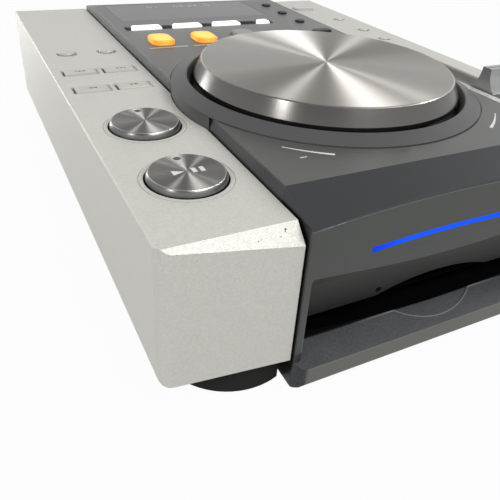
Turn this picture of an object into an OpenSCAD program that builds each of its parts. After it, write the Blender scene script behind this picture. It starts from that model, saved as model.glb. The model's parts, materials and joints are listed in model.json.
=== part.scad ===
// Tabletop slot-loading disc player: a dark centre body with a large jog dial between two
// silver side modules. The front faces -Y, and the origin is at the middle of its footprint.

/* [Overall size] */
// Width over the two side modules
body_w = 217.9; // [212:0.1:224]
// Depth from the front lip to the ends of the rear jacks
body_d = 296.3; // [294:0.1:300]
// How far the rear jacks stand out
jack_reach = 7.7; // [6:0.1:8.5]

/* [Side modules] */
// Width of one side module
side_w = 43.25; // [42.5:0.05:44]
// Height of a side module
side_h = 52.1; // [50:0.1:56]
// Height of the side modules' undersides above the table
side_base = 15.4; // [14:0.1:18]
// Radius of the outer front corner
side_corner_r = 5; // [2:0.5:8]
// Setback of the outer front corner behind the lip
side_setback = 9.3; // [8:0.1:12]
// How much further forward the inner front corner stands
front_slant = 4.7; // [1:0.1:5.5]
// Setback of the 45 degree front bevel behind the lip
bevel_setback = 10.35; // [10:0.05:13]
// Wall thickness of the side modules
side_wall = 2.2; // [1.6:0.1:2.6]

/* [Centre body] */
// Height of the centre body's underside above the table
tub_base = 3; // [2:0.1:5]
// Height of the deck above the side modules
deck_rise = 5; // [3:0.1:7]
// Thickness of the deck
deck_wall = 2.5; // [2:0.1:3]
// Gap between the centre body and each side module
seam_gap = 0.8; // [0.4:0.1:1.2]
// How much the deck's side walls lean in
deck_draft = 1; // [0.5:0.1:1.5]
// Setback of the deck's front crease behind the lip
crease_setback = 21.6; // [20:0.1:24]
// Drop of the sloping facet from the crease to the front corners
facet_drop = 5.45; // [3:0.05:6.5]

/* [Front] */
// Setback of the fascia's front corners behind the lip
fascia_setback = 3.2; // [2.5:0.1:4]
// Hollow of the fascia's front in plan
face_sag = 4.4; // [3:0.1:5]
// Height of the disc slot's upper edge above the table
slot_top = 25.6; // [25.2:0.1:26.5]
// Height of the lip's floor at the slot
slot_floor = 17.5; // [16.5:0.1:18]
// Rise of the arch in the middle of the slot
arch_rise = 4.9; // [2:0.1:5.5]
// Half of the arch's width
arch_half = 27; // [20:0.5:30]
// Length of the light strip
strip_len = 77; // [60:1:100]
// Height of the light strip
strip_h = 2.1; // [1.5:0.1:3]

/* [Jog dial] */
// Distance of the dial's axis from the rear edge
jog_from_rear = 188.3; // [186:0.1:190]
// Radius of the dial's rim
jog_r = 58.6; // [56:0.1:59]
// Radius of the dial's flat top
jog_top_r = 55.4; // [50:0.1:56]
// Height of the dial above the deck
jog_rise = 10; // [8:0.1:13]
// Radius of the fixed ring
ring_r = 68.5; // [67.5:0.1:69]
// Radius of the fixed ring's mouth
ring_bore_r = 62; // [61.8:0.1:62.4]
// Height of the ring's mouth above the deck
ring_rise = 3; // [2:0.1:4]

/* [Keys] */
// Radius of the two large transport keys
big_key_r = 13.5; // [12:0.1:13.7]
// Clearance around a key in its opening
key_gap = 0.6; // [0.4:0.1:0.8]
// Travel of a key
key_travel = 0.8; // [0.5:0.1:0.9]
// Width of a track or search key
bar_key_w = 14.6; // [12:0.1:15]
// Depth of a track or search key
bar_key_d = 7.8; // [6:0.1:8.5]
// Size of a lit effect key
lit_key = [16.6, 6.6];
// Size of a loop key
loop_key = [12, 16];

/* [Tempo slider] */
// Travel of the slider
slider_travel = 100; // [60:1:100]
// Length of the slider's trough
trough_l = 122; // [120:1:124]
// Width of the slider's trough
trough_w = 15.4; // [15:0.1:17]
// Depth of the slider's trough
trough_h = 4; // [3:0.1:5]
// How far the knob rests in front of the trough's middle
knob_rest = 12.5; // [0:0.5:40]

/* [Hidden] */
$fn = 96;

// Planes of the whole body
half_w = body_w / 2;
front_y = -body_d / 2;
rear_y = body_d / 2 - jack_reach;
side_top = side_base + side_h;
deck_z = side_top + deck_rise;
seam_x = half_w - side_w;
centre_x = seam_x - seam_gap;
crease_y = front_y + crease_setback;
fascia_y = front_y + fascia_setback;
skirt_z = side_top - 3.5;
skin_z = side_top - 2.4;
deck_under_z = deck_z - deck_wall;
tub_wall = 2;
tub_floor = tub_base + 2.2;
cut = 0.5;
air = 0.3;

// Colours as photographed
silver_paint = [0.78, 0.77, 0.74];
gunmetal = [0.25, 0.26, 0.27];
soft_black = [0.07, 0.07, 0.075];
steel = [0.62, 0.63, 0.64];
spun_metal = [0.55, 0.54, 0.53];
board_green = [0.08, 0.3, 0.16];

// ---- Shared shapes ----

// Extrudes a Y-Z outline along X, centred on x = 0
module along_x(length) {
    rotate([90, 0, 90])
        linear_extrude(length, center = true) children();
}

// Extrudes an X-Z outline from y_from to y_to
module along_y(y_from, y_to) {
    translate([0, y_to, 0])
        rotate([90, 0, 0])
            linear_extrude(y_to - y_from) children();
}

// A box from its lowest corner to its highest
module block(low, high) {
    translate(low) cube(high - low);
}

module rod(r, z_from, z_to) {
    translate([0, 0, z_from]) cylinder(r = r, h = z_to - z_from);
}

module round_rect(w, d, r) {
    for (x = [-1, 1], y = [-1, 1])
        translate([x * (w / 2 - r), y * (d / 2 - r)]) circle(r);
    square([w - 2 * r, d], center = true);
    square([w, d - 2 * r], center = true);
}

// What a round of radius r takes off the corner at the origin, towards +x and +y
module corner_round(r) {
    difference() {
        translate([-cut, -cut]) square(r + cut);
        translate([r, r]) circle(r);
    }
}

module both_sides() {
    children();
    mirror([1, 0, 0]) children();
}

// ---- Side modules ----
side_front_y = front_y + side_setback;
front_angle = atan2(front_slant, side_w);
corner_y = side_front_y + side_corner_r * (1 - sin(front_angle)) / cos(front_angle);
bevel_y = front_y + bevel_setback;
rib_ys = [-60, 90];
rib_top = 46;
boss_z = 55;

// Plan of the left module, with its outer front corner rounded
module side_plan() {
    translate([side_corner_r - half_w, corner_y]) circle(side_corner_r);
    polygon([[-half_w, rear_y], [-seam_x, rear_y], [-seam_x, side_front_y - front_slant],
        [side_corner_r * (1 - sin(front_angle)) - half_w,
         corner_y - side_corner_r * cos(front_angle)],
        [-half_w, corner_y]]);
}

// X-Z section of the left module: a small round on top and a larger one below
module side_section() {
    difference() {
        translate([-half_w, side_base]) square([side_w, side_h]);
        translate([-half_w, side_top]) mirror([0, 1]) corner_round(1);
        translate([-half_w, side_base]) corner_round(2.5);
    }
}

// The material that the 45 degree bevel takes away, drop below the bevel's plane
module bevel_cut(drop = 0) {
    along_x(2 * body_w)
        polygon([[bevel_y + cut, side_top + cut - drop], [bevel_y - 20, side_top - 20 - drop],
            [bevel_y - 20, side_top + cut], [bevel_y + cut, side_top + cut]]);
}

module side_cavity() {
    difference() {
        translate([0, 0, side_base + side_wall])
            linear_extrude(skin_z - side_base - side_wall)
                polygon([[side_wall - half_w, rear_y - side_wall],
                    [cut - seam_x, rear_y - side_wall],
                    [cut - seam_x, side_front_y - front_slant + side_wall],
                    [side_wall - half_w, side_front_y + side_wall + 1]]);
        bevel_cut(side_wall * sqrt(2));
    }
}

// Shell of one module, with ribs that meet the centre body's pads
module side_shell() {
    difference() {
        intersection() {
            linear_extrude(side_top + cut) side_plan();
            along_y(front_y, rear_y + cut) side_section();
        }
        bevel_cut();
        side_cavity();
        translate([0, jog_y, 0]) rod(ring_r + air, skin_z - cut, side_top + cut);
        for (y = rib_ys) translate([foot_x, y > 0 ? rear_foot_y : front_foot_y, 0])
            rod(screw_r + 0.2, side_base - cut, side_base + side_wall + cut);
    }
    for (y = rib_ys)
        block([side_wall - half_w, y - 1, side_base + side_wall], [-seam_x, y + 1, rib_top]);
}

// Bosses that carry a key board under the module's top
module board_bosses(positions, z_from, z_to) {
    for (p = positions) translate(p) rod(2.5, z_from, z_to);
}

// ---- Key places, in plan ----
left_x = 22.25 - half_w;
cue_y = rear_y - 198.7;
play_y = rear_y - 243.3;
folder_y = rear_y - 98;
track_y = rear_y - 129.4;
search_y = rear_y - 153.2;
pair_x = [-9.4, 9.2];
folder_x = [-9.7, 10.6];
lit_y = rear_y - 76.4;
lit_x = [-47.45, -22.95, 2.05, 27.05];
hold_w = 6.8;
loop_y = rear_y - 104.6;
loop_x = [-48.45, -24.05, 0.35];
round_x = 51.7;
round_ys = [rear_y - 33.7, rear_y - 56.8, rear_y - 79.9];
mode_at = [52.7, rear_y - 104.3];
eject_at = [86.5, rear_y - 26.4];
right_x = 95.5;
time_y = rear_y - 60;
range_y = rear_y - 89.1;
master_y = rear_y - 111.2;
small_r = 3;
folder_r = 4;
mode_key = [13, 5];
eject_key = [15, 9];
well_chamfer = 1.2;

// Round opening with a fine engraved ring around it
module big_well(at) {
    translate(at) {
        rod(big_key_r + key_gap, skin_z - cut, side_top + cut);
        translate([0, 0, side_top - 0.3]) difference() {
            cylinder(r = big_key_r + 2.3, h = 1);
            translate([0, 0, -cut]) cylinder(r = big_key_r + 2.05, h = 2);
        }
    }
}

// Opening for a bar key, with sloping ends
module bar_well(at) {
    w = bar_key_w + 2 * air;
    d = bar_key_d + 2 * air;
    translate(at) {
        translate([0, 0, side_top]) cube([w, d, 8], center = true);
        along_y(-d / 2, d / 2)
            polygon([[-w / 2 - 2, side_top + cut], [-w / 2, side_top - well_chamfer],
                [w / 2, side_top - well_chamfer], [w / 2 + 2, side_top + cut]]);
    }
}

module small_well(at, r) {
    translate(at) {
        rod(r + air, skin_z - cut, side_top + cut);
        translate([0, 0, side_top - well_chamfer]) cylinder(r1 = r + air, r2 = r + 1.6, h = 1.4);
    }
}

// Round key: a domed edge, a retaining flange under the skin and a stem on its switch
module round_key(at, r, rise, top, skin, edge_r) {
    translate(at) {
        rotate_extrude() {
            difference() {
                translate([0, skin - air - 1]) square([r, top + rise - skin + air + 1]);
                translate([r, top + rise]) rotate(180) corner_round(edge_r);
            }
            translate([0, skin - air - 1.2]) square([r + 1.2, 1.2]);
            translate([0, skin - 5.5]) square([1.8, 4.5]);
        }
    }
}

// Bar key with bevelled ends and edges
module bar_key(at) {
    w = bar_key_w;
    d = bar_key_d;
    b = 0.6;
    translate(at) {
        intersection() {
            along_y(-d, d)
                polygon([[-w / 2, skin_z - 1], [w / 2, skin_z - 1], [w / 2, side_top - 0.1],
                    [w / 2 - 2 * b, side_top + b], [2 * b - w / 2, side_top + b],
                    [-w / 2, side_top - 0.1]]);
            along_x(2 * w)
                polygon([[-d / 2, skin_z - 1], [d / 2, skin_z - 1], [d / 2, side_top],
                    [d / 2 - b, side_top + b], [b - d / 2, side_top + b], [-d / 2, side_top]]);
        }
        translate([0, 0, skin_z - air - 0.6]) cube([w + 1.6, d + 1.6, 1.2], center = true);
        rod(1.8, skin_z - 5.5, skin_z - 1);
    }
}

// Soft-edged key cap of the deck, with the same flange and stem
module cap_key(at, size, corner, rise, top, skin) {
    edge = 0.6;
    translate(at) {
        hull() {
            translate([0, 0, skin - 1]) linear_extrude(top + rise - edge - skin + 1)
                round_rect(size[0], size[1], corner, $fn = 32);
            translate([0, 0, top + rise - edge]) linear_extrude(edge)
                round_rect(size[0] - 2 * edge, size[1] - 2 * edge, corner - edge / 2, $fn = 32);
        }
        translate([0, 0, skin - air - 1.2]) linear_extrude(1.2 - 0.01)
            difference() {
                round_rect(size[0] + 1.6, size[1] + 1.6, corner);
                round_rect(size[0] - 0.4, size[1] - 0.4, corner);
            }
        rod(1.8, skin - 5.5, skin - 0.9);
    }
}

module deck_opening(at, size, corner) {
    translate([at[0], at[1], deck_under_z - cut])
        linear_extrude(deck_wall + 2 * cut)
            round_rect(size[0] + 2 * air, size[1] + 2 * air, corner + air);
}

// ---- Tempo slider ----
slider_x = 88.55;
trough_y = rear_y - 133 - trough_l / 2;
knob_y = trough_y - knob_rest;
knob_w = 13;
knob_l = 15;
knob_top_l = 5.4;
knob_h = 11;
knob_base_z = side_top - trough_h + 0.8;
stem_w = 2.4;
stem_l = 5;

module trough(inset = 0) {
    w = trough_w / 2 - inset;
    translate([slider_x, 0, 0])
        along_y(trough_y - trough_l / 2 + inset, trough_y + trough_l / 2 - inset)
            polygon([[-w, side_top + cut], [0.8 - w, side_top - trough_h],
                [w - 0.8, side_top - trough_h], [w, side_top + cut]]);
}

// ---- Side cover nodes ----
left_bosses = [[-102, 30], [-72, 52], [-102, -80], [-72, -80]];
right_bosses = [[72, 20], [104, 66], [72, 120]];

module left_side_cover() {
    color(silver_paint) {
        difference() {
            side_shell();
            big_well([left_x, cue_y]);
            big_well([left_x, play_y]);
            for (i = [0, 1]) {
                bar_well([left_x + pair_x[i], track_y]);
                bar_well([left_x + pair_x[i], search_y]);
                small_well([left_x + folder_x[i], folder_y], folder_r);
            }
        }
        board_bosses(left_bosses, boss_z, skin_z);
    }
}

module right_side_cover() {
    color(silver_paint) {
        difference() {
            union() {
                mirror([1, 0, 0]) side_shell();
                intersection() {
                    block([slider_x - trough_w / 2 - 2, trough_y - trough_l / 2 - 2,
                        side_top - trough_h - 2], [slider_x + trough_w / 2 + 2,
                        trough_y + trough_l / 2 + 2, skin_z + cut]);
                    mirror([1, 0, 0]) side_cavity();
                }
            }
            trough();
            block([slider_x - stem_w / 2 - air, trough_y - slider_travel / 2 - stem_l / 2 - 1,
                side_top - trough_h - 3], [slider_x + stem_w / 2 + air,
                trough_y + slider_travel / 2 + stem_l / 2 + 1, side_top]);
            for (y = [time_y, range_y, master_y]) small_well([right_x, y], small_r);
            translate([eject_at[0], eject_at[1], skin_z - cut]) linear_extrude(10)
                round_rect(eject_key[0] + 2 * air, eject_key[1] + 2 * air, 3);
        }
        board_bosses(right_bosses, boss_z, skin_z);
    }
}

// ---- Centre body ----
foot_x = -82.5;
front_foot_y = rear_y - 252.5;
rear_foot_y = rear_y - 40;
foot_r = 26.5;
foot_centre_x = -74.5;
screw_r = 1.5;
tub_screws = [[-57, -118], [57, -118], [-57, 132], [57, 132]];
drive_posts = [[-56, -100], [56, -100], [-56, 2], [56, 2]];
board_posts = [[-52, 36], [6, 36], [-52, 124], [6, 124], [16, 36], [58, 36], [16, 124], [58, 124]];
drive_z = 12;
board_z = 14;
panel_y = rear_y - 2.2;

module bottom_case() {
    color(soft_black) {
        difference() {
            block([-centre_x, crease_y, tub_base], [centre_x, rear_y, skirt_z]);
            block([tub_wall - centre_x, crease_y - 1, tub_floor],
                [centre_x - tub_wall, rear_y + 1, skirt_z + 1]);
            for (p = tub_screws) translate(p) {
                rod(screw_r + 0.2, tub_base - cut, tub_floor + cut, $fn = 48);
                rod(3.2, tub_base - cut, tub_base + 1.4, $fn = 48);
            }
            for (i = [-4:4]) translate([i * 9, 80, tub_base - cut])
                linear_extrude(5) round_rect(3, 40, 1.49, $fn = 24);
        }
        for (p = drive_posts) translate(p) rod(3, tub_floor, drive_z, $fn = 48);
        for (p = board_posts) translate(p) rod(3, tub_floor, board_z, $fn = 48);
        for (p = tub_screws) translate(p) difference() {
            rod(4, tub_floor, tub_floor + 6.5, $fn = 48);
            rod(screw_r, tub_floor - cut, tub_floor + 5.6, $fn = 48);
        }
        both_sides() for (y = rib_ys) translate([-seam_x, y, 34])
            rotate([0, 90, 0]) cylinder(r = 5, h = seam_gap);
    }
}

// X-Z outline of the deck, inset for its inner face
module deck_section(inset = 0, low = skirt_z) {
    x = centre_x - inset * 0.8;
    top = deck_z - inset;
    polygon([[-x, low], [-x, side_top], [deck_draft - x, top], [x - deck_draft, top],
        [x, side_top], [x, low]]);
}

// Y-Z outline of the deck with the slope at its rear edge
module deck_side(inset = 0) {
    polygon([[crease_y - inset, skirt_z - inset], [crease_y - inset, deck_z - inset],
        [rear_y - 14 - inset / 4, deck_z - inset], [rear_y - 0.25 - inset, deck_z - 3 - inset],
        [rear_y - 0.25 - inset, skirt_z - inset]]);
}

display_size = [96, 42];
display_at = [-9, rear_y - 37];

module top_panel() {
    color(gunmetal) {
        difference() {
            intersection() {
                along_y(crease_y, rear_y) deck_section();
                along_x(body_w) deck_side();
            }
            intersection() {
                along_y(crease_y - 10, rear_y) deck_section(deck_wall, skirt_z - 5);
                along_x(body_w) deck_side(deck_wall);
            }
            translate([0, jog_y, 0]) {
                rod(ring_tube_r + 0.1, skirt_z, deck_z + 1);
                difference() {
                    rod(ring_r + ring_groove, deck_z - ring_groove, deck_z + 1);
                    rod(ring_r, skirt_z, deck_z + 2);
                }
            }
            translate([display_at[0], display_at[1], deck_under_z - cut])
                linear_extrude(5) round_rect(display_size[0] - 4, display_size[1] - 4, 1);
            translate([display_at[0], display_at[1], deck_z - 1.5])
                linear_extrude(5) round_rect(display_size[0] + 0.4, display_size[1] + 0.4, 2.2);
            translate([-13.5, lit_y, deck_z - 1.2])
                linear_extrude(3) round_rect(93, lit_key[1] + 1.6, 1);
            for (i = [0:2]) {
                deck_opening([lit_x[i], lit_y], lit_key, 0.8);
                deck_opening([loop_x[i], loop_y], loop_key, 4);
                deck_opening([round_x, round_ys[i]], [2 * small_r, 2 * small_r], small_r - 0.01);
            }
            deck_opening([lit_x[3], lit_y], [hold_w, lit_key[1]], 0.8);
            deck_opening(mode_at, mode_key, 2.4);
        }
        board_bosses([[-58, 76], [58, 76], [-58, 27], [59, 27]], deck_board_z, deck_under_z);
    }
}

// ---- Front ----
face_half = centre_x;
face_r = (face_half * face_half + face_sag * face_sag) / (2 * face_sag);
face_centre_y = fascia_y + face_sag - face_r;
facet_slope = facet_drop / (crease_y - fascia_y);
cheek = 2.6;
mouth_x = centre_x - cheek;
lip_front_z = slot_floor - 4.5;
lip_low_z = tub_base + 3.6;
lip_corner_r = 5;
lip_reach = 9.4;
lip_slope = atan2(slot_floor - lip_front_z, lip_reach);
notch_r = 31.7;
notch_setback = 3.4;
notch_depth = 0.7;
cowl_t = 2;
cowl_seat = 1;
cowl_edge = 0.5;
mouth_corner_r = 3;
pin_hole = [-26.9, 28.5];
pin_hole_r = 1.3;
felt_t = 1;
felt_front = lip_reach - 0.15;
felt_arc_r = 410;

// The scoop above the slot is a hollow cylinder along X through these two points
scoop_a = [fascia_y, slot_top + 23.8];
scoop_b = [front_y + 11.6, slot_top];
scoop_r = 51;
scoop_chord = norm(scoop_b - scoop_a);
scoop_out = sqrt(scoop_r * scoop_r - scoop_chord * scoop_chord / 4);
scoop_dir = (scoop_b - scoop_a) / scoop_chord;
scoop_c = (scoop_a + scoop_b) / 2 + scoop_out * [scoop_dir[1], -scoop_dir[0]];

module scoop(r, grow = 0) {
    translate([0, scoop_c[0], scoop_c[1]])
        rotate([0, 90, 0]) cylinder(r = r, h = 2 * (mouth_x + grow), center = true, $fn = 180);
}

// Prism over the scooped mouth's outline, with rounded upper corners
module mouth(grow = 0) {
    along_y(front_y - 1, crease_y + 1) difference() {
        translate([-mouth_x - grow, 0]) square([2 * (mouth_x + grow), scoop_a[1] + grow]);
        for (m = [0, 1]) mirror([m, 0]) translate([mouth_x + grow, scoop_a[1] + grow])
            rotate(180) corner_round(mouth_corner_r + grow);
    }
}

module face_cylinder(extra = 0, low = 0, high = 100) {
    translate([0, face_centre_y, low])
        cylinder(r = face_r + extra, h = high - low, $fn = 360);
}

// Y-Z outline of the front block, its facet lowered by drop
module front_side(drop = 0, low = tub_base) {
    polygon([[crease_y + drop, low], [crease_y + drop, deck_z - drop], [crease_y, deck_z - drop],
        [fascia_y - 1, deck_z - drop - facet_slope * (crease_y - fascia_y + 1)],
        [fascia_y - 1, low]]);
}

// Sloping lip under the slot, hollow behind its front wall
module lip() {
    difference() {
        along_x(2 * centre_x)
            polygon([[front_y, lip_front_z], [front_y + lip_reach, slot_floor],
                [crease_y, slot_floor], [crease_y, tub_base], [front_y + 3.6, tub_base],
                [front_y + 1.2, lip_low_z - 2], [front_y, lip_low_z]]);
        block([-mouth_x, front_y + deck_wall, lip_low_z - 0.6],
            [mouth_x, crease_y + 1, lip_front_z - 2.4]);
        intersection() {
            translate([0, front_y + notch_setback + notch_r, 0]) cylinder(r = notch_r, h = side_top);
            translate([0, front_y, lip_front_z]) rotate([lip_slope, 0, 0])
                translate([-notch_r, 0, -notch_depth]) cube([2 * notch_r, lip_reach + 1, 10]);
        }
    }
}

// Concave face and its sloping band, over the scoop and between two cheeks
module face_block() {
    difference() {
        intersection() {
            along_y(fascia_y - 1, crease_y) deck_section(0, lip_front_z);
            along_x(body_w) front_side();
        }
        intersection() {
            along_x(2 * mouth_x) front_side(deck_wall, tub_base - 1);
            difference() {
                translate([0, 0, 30]) cube(400, center = true);
                face_cylinder(deck_wall, -200, 300);
            }
        }
        face_cylinder();
        intersection() {
            scoop(scoop_r);
            mouth();
        }
        // Seat of the cowl behind a thin edge
        difference() {
            intersection() {
                scoop(scoop_r + cowl_t + 0.05, cowl_seat);
                mouth(cowl_seat);
            }
            face_cylinder(cowl_edge, -100, 200);
        }
        translate([0, 0, strip_z])
            cube([strip_len + 0.1, body_d + 20, strip_h + 0.1], center = true);
    }
}

module front_fascia() {
    color(gunmetal) intersection() {
        union() {
            face_block();
            lip();
        }
        linear_extrude(deck_z + 1) difference() {
            translate([-centre_x, front_y]) square([2 * centre_x, crease_setback]);
            translate([-centre_x, front_y]) corner_round(lip_corner_r);
            translate([centre_x, front_y]) mirror([1, 0]) corner_round(lip_corner_r);
        }
    }
}

arch_r = (arch_half * arch_half + arch_rise * arch_rise) / (2 * arch_rise);

// The glossy scooped panel over the slot, seated behind the fascia's edge and arched for a finger
module slot_cowl() {
    wide = mouth_x + cowl_seat - 0.1;
    color([0.16, 0.165, 0.17]) difference() {
        union() {
            difference() {
                intersection() {
                    scoop(scoop_r + cowl_t, cowl_seat - 0.1);
                    mouth(cowl_seat - 0.1);
                    block([-wide, fascia_y, slot_top], [wide, crease_y, deck_z]);
                }
                scoop(scoop_r, cowl_seat);
            }
            block([-mouth_x, scoop_b[0], slot_top], [mouth_x, crease_y - 0.2, slot_top + cowl_t]);
        }
        face_cylinder(cowl_edge + 0.05);
        translate([0, 0, slot_top + arch_rise - arch_r]) rotate([90, 0, 0])
            cylinder(r = arch_r, h = 400, center = true, $fn = 200);
        translate([pin_hole[0], 0, pin_hole[1]]) rotate([90, 0, 0])
            cylinder(r = pin_hole_r, h = 400, center = true, $fn = 24);
    }
}

strip_z = side_top - 15.3;

module light_strip() {
    color([0.1, 0.25, 1]) intersection() {
        translate([0, 0, strip_z - strip_h / 2]) linear_extrude(strip_h) difference() {
            translate([0, face_centre_y]) circle(face_r + deck_wall + 1.5, $fn = 360);
            translate([0, face_centre_y]) circle(face_r, $fn = 360);
        }
        block([-strip_len / 2, front_y, 0], [strip_len / 2, 0, 100]);
    }
}

// Felt strips above and below the disc's path, the lower one with a bowed front edge
module slot_felt() {
    color([0.02, 0.02, 0.02]) {
        block([0.1 - mouth_x, scoop_b[0] + 1.5, slot_top - felt_t],
            [mouth_x - 0.1, crease_y - 1.5, slot_top]);
        intersection() {
            block([0.1 - mouth_x, front_y, slot_floor],
                [mouth_x - 0.1, crease_y - 1.5, slot_floor + felt_t]);
            translate([0, front_y + felt_front + felt_arc_r, 0])
                cylinder(r = felt_arc_r, h = slot_top, $fn = 360);
        }
    }
}

// ---- Rear ----
jack_z = 40;
audio_x = [50, 34];
digital_x = 16;
control_x = 0;
switch_x = -27;
inlet_x = -50;
rca_r = 4.15;
rca_flange_r = 5.5;

module rear_panel() {
    color(soft_black) difference() {
        block([tub_wall - centre_x, panel_y, tub_floor], [centre_x - tub_wall, rear_y, skirt_z]);
        for (x = [audio_x[0], audio_x[1], digital_x])
            at_rear(x) cylinder(r = rca_r + 0.2, h = 9, center = true);
        at_rear(control_x) cylinder(r = 3.2, h = 9, center = true);
        translate([switch_x, rear_y, jack_z]) cube([19.4, 9, 13.2], center = true);
        translate([inlet_x, rear_y, jack_z]) cube([16.4, 9, 10.4], center = true);
    }
}

module at_rear(x) {
    translate([x, rear_y, jack_z]) rotate([-90, 0, 0]) children();
}

// Phono socket: body behind the panel, barrel through it and an open centre contact
module rca_jack(x) {
    at_rear(x) difference() {
        union() {
            translate([0, 0, -12]) cylinder(r = rca_r, h = 12 + jack_reach);
            cylinder(r = rca_flange_r, h = 1);
            translate([-6, -6, -12]) cube([12, 12, 9.8]);
        }
        translate([0, 0, -2]) cylinder(r = 1.75, h = 20);
        translate([0, 0, 1]) difference() {
            cylinder(r = 3.5, h = 20);
            cylinder(r = 2.3, h = 20);
        }
    }
}

module audio_jacks() {
    color([0.85, 0.72, 0.35]) for (x = audio_x) rca_jack(x);
}

module digital_jack() {
    color([0.85, 0.72, 0.35]) rca_jack(digital_x);
}

// 3.5 mm socket
module control_jack() {
    color([0.05, 0.05, 0.05]) at_rear(control_x) difference() {
        union() {
            translate([0, 0, -12]) cylinder(r = 3, h = 13.4);
            translate([-5, -4.5, -14]) cube([10, 9, 11.8]);
            cylinder(r = 4, h = 1.4);
        }
        translate([0, 0, -11]) cylinder(r = 1.8, h = 20);
    }
}

// Two-pin mains inlet with a round-ended shroud
module ac_inlet() {
    color([0.05, 0.05, 0.05]) at_rear(inlet_x) {
        difference() {
            union() {
                translate([0, 0, -14]) linear_extrude(14) round_rect(16, 10, 1);
                linear_extrude(1.5) round_rect(24, 15, 2);
            }
            translate([0, 0, -11]) linear_extrude(20) round_rect(13, 7.6, 3.7);
        }
        for (x = [-3.5, 3.5]) translate([x, 0, -11.5]) cylinder(r = 1.15, h = 10, $fn = 32);
    }
}

rocker_pivot_y = rear_y - 2;
rocker_r = 1.2;

module power_switch_body() {
    color([0.05, 0.05, 0.05]) difference() {
        union() {
            translate([switch_x, rear_y - 7, jack_z]) cube([19, 14, 12.8], center = true);
            translate([switch_x, rear_y + 0.7, jack_z]) cube([22, 1.4, 15], center = true);
        }
        translate([switch_x, rear_y - 3, jack_z]) cube([16.4, 12, 10.4], center = true);
        translate([switch_x, rocker_pivot_y, jack_z]) rotate([0, 90, 0])
            cylinder(r = rocker_r + 0.05, h = 18, center = true, $fn = 48);
    }
}

// Rocker resting with its lower half pressed
module power_switch_rocker() {
    color([0.1, 0.1, 0.1]) translate([switch_x, rocker_pivot_y, jack_z]) {
        rotate([8, 0, 0]) along_x(15.6)
            polygon([[-3, -3.5], [-3, 3.5], [1, 4.6], [3.1, 4.2], [1.7, 0], [3.1, -4.2], [1, -4.6]]);
        rotate([0, 90, 0]) cylinder(r = rocker_r, h = 17.6, center = true, $fn = 48);
    }
}

// ---- Feet and screws ----
module foot() {
    intersection() {
        translate([foot_centre_x, 0, 0]) rotate_extrude() difference() {
            square([foot_r, side_base]);
            translate([foot_r, 0]) mirror([1, 0]) corner_round(2);
        }
        translate([-99, -foot_r, 0]) cube([99 - seam_x - 0.3, 2 * foot_r, side_base]);
    }
}

module feet() {
    color([0.1, 0.1, 0.1]) both_sides() {
        translate([0, front_foot_y, 0]) drilled_foot();
        translate([0, rear_foot_y, 0]) mirror([0, 1, 0]) drilled_foot();
    }
}

module drilled_foot() {
    difference() {
        foot();
        translate([foot_x, 0, 0]) {
            rod(screw_r + 0.2, -cut, side_base + cut);
            rod(4, -cut, 7);
        }
    }
}

// A pan-head screw standing on its head at z = 0
module screw(length) {
    difference() {
        rotate_extrude() {
            square([screw_r, length]);
            difference() {
                square([2.8, 1.4]);
                translate([2.8, 0]) mirror([1, 0]) corner_round(0.8);
            }
        }
        for (a = [0, 90]) rotate(a) cube([3, 0.6, 1.4], center = true);
    }
}

module case_screws() {
    color(steel) {
        for (p = tub_screws) translate([p[0], p[1], tub_base]) screw(7.4);
        both_sides() for (y = [front_foot_y, rear_foot_y])
            translate([foot_x, y, 7 - 1.4]) screw(side_base + side_wall + 3 - 5.6);
    }
}

// ---- Jog dial ----
jog_y = rear_y - jog_from_rear;
jog_top = deck_z + jog_rise;
ring_top = deck_z + ring_rise;
ring_tube_r = ring_bore_r - 0.3;
dish_z = deck_z - 6.5;
ring_groove = 0.5;
spindle_r = 5;
bush_r = 9;
dial_low = ring_top - 1.7;

// Fixed ring: a low cone on the deck that runs down over the side modules
module jog_ring() {
    color([0.2, 0.21, 0.22]) translate([0, jog_y, 0]) {
        rotate_extrude($fn = 180)
            polygon([[ring_r, deck_z], [ring_r, deck_z + 0.4], [ring_bore_r, ring_top],
                [ring_bore_r - 0.4, ring_top - 0.3], [ring_tube_r - 1.5, deck_z],
                [ring_tube_r - 1.5, dish_z], [bush_r, dish_z], [bush_r, dish_z - 2],
                [ring_tube_r, dish_z - 2], [ring_tube_r, deck_z]]);
        difference() {
            rod(ring_r, skin_z, deck_z + 0.2);
            cube([2 * (centre_x + 0.15), 3 * ring_r, 3 * deck_z], center = true);
        }
    }
}

// Hollow spun-metal dial with a polished bevelled rim
module jog_dial() {
    color(spun_metal) translate([0, jog_y, 0]) rotate_extrude($fn = 180)
        polygon([[0, jog_top], [jog_top_r, jog_top], [jog_top_r + 0.5, jog_top - 0.3],
            [jog_r, ring_top + 0.4], [jog_r, dial_low], [jog_r - 2, dial_low],
            [jog_r - 2.2, ring_top + 0.4], [jog_top_r - 1.6, jog_top - 2.2],
            [bush_r, jog_top - 2.2], [bush_r, dish_z + 1.5], [spindle_r, dish_z + 1.5],
            [spindle_r, jog_top - 4], [0, jog_top - 4]]);
}

encoder_z = dish_z - 10;

module jog_spindle() {
    color(steel) translate([0, jog_y, 0]) {
        rod(spindle_r, encoder_z + 1, jog_top - 4);
        rod(spindle_r - 1.5, encoder_z - 1, encoder_z + 1);
    }
}

// Flanged bush in the dish's hole
module jog_bearing() {
    color([0.8, 0.65, 0.3]) translate([0, jog_y, 0]) difference() {
        union() {
            rod(bush_r, dish_z - 8, dish_z + 0.5);
            rod(bush_r + 3, dish_z - 4, dish_z - 2);
        }
        rod(spindle_r + 0.04, dish_z - 9, dish_z + 1);
    }
}

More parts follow.
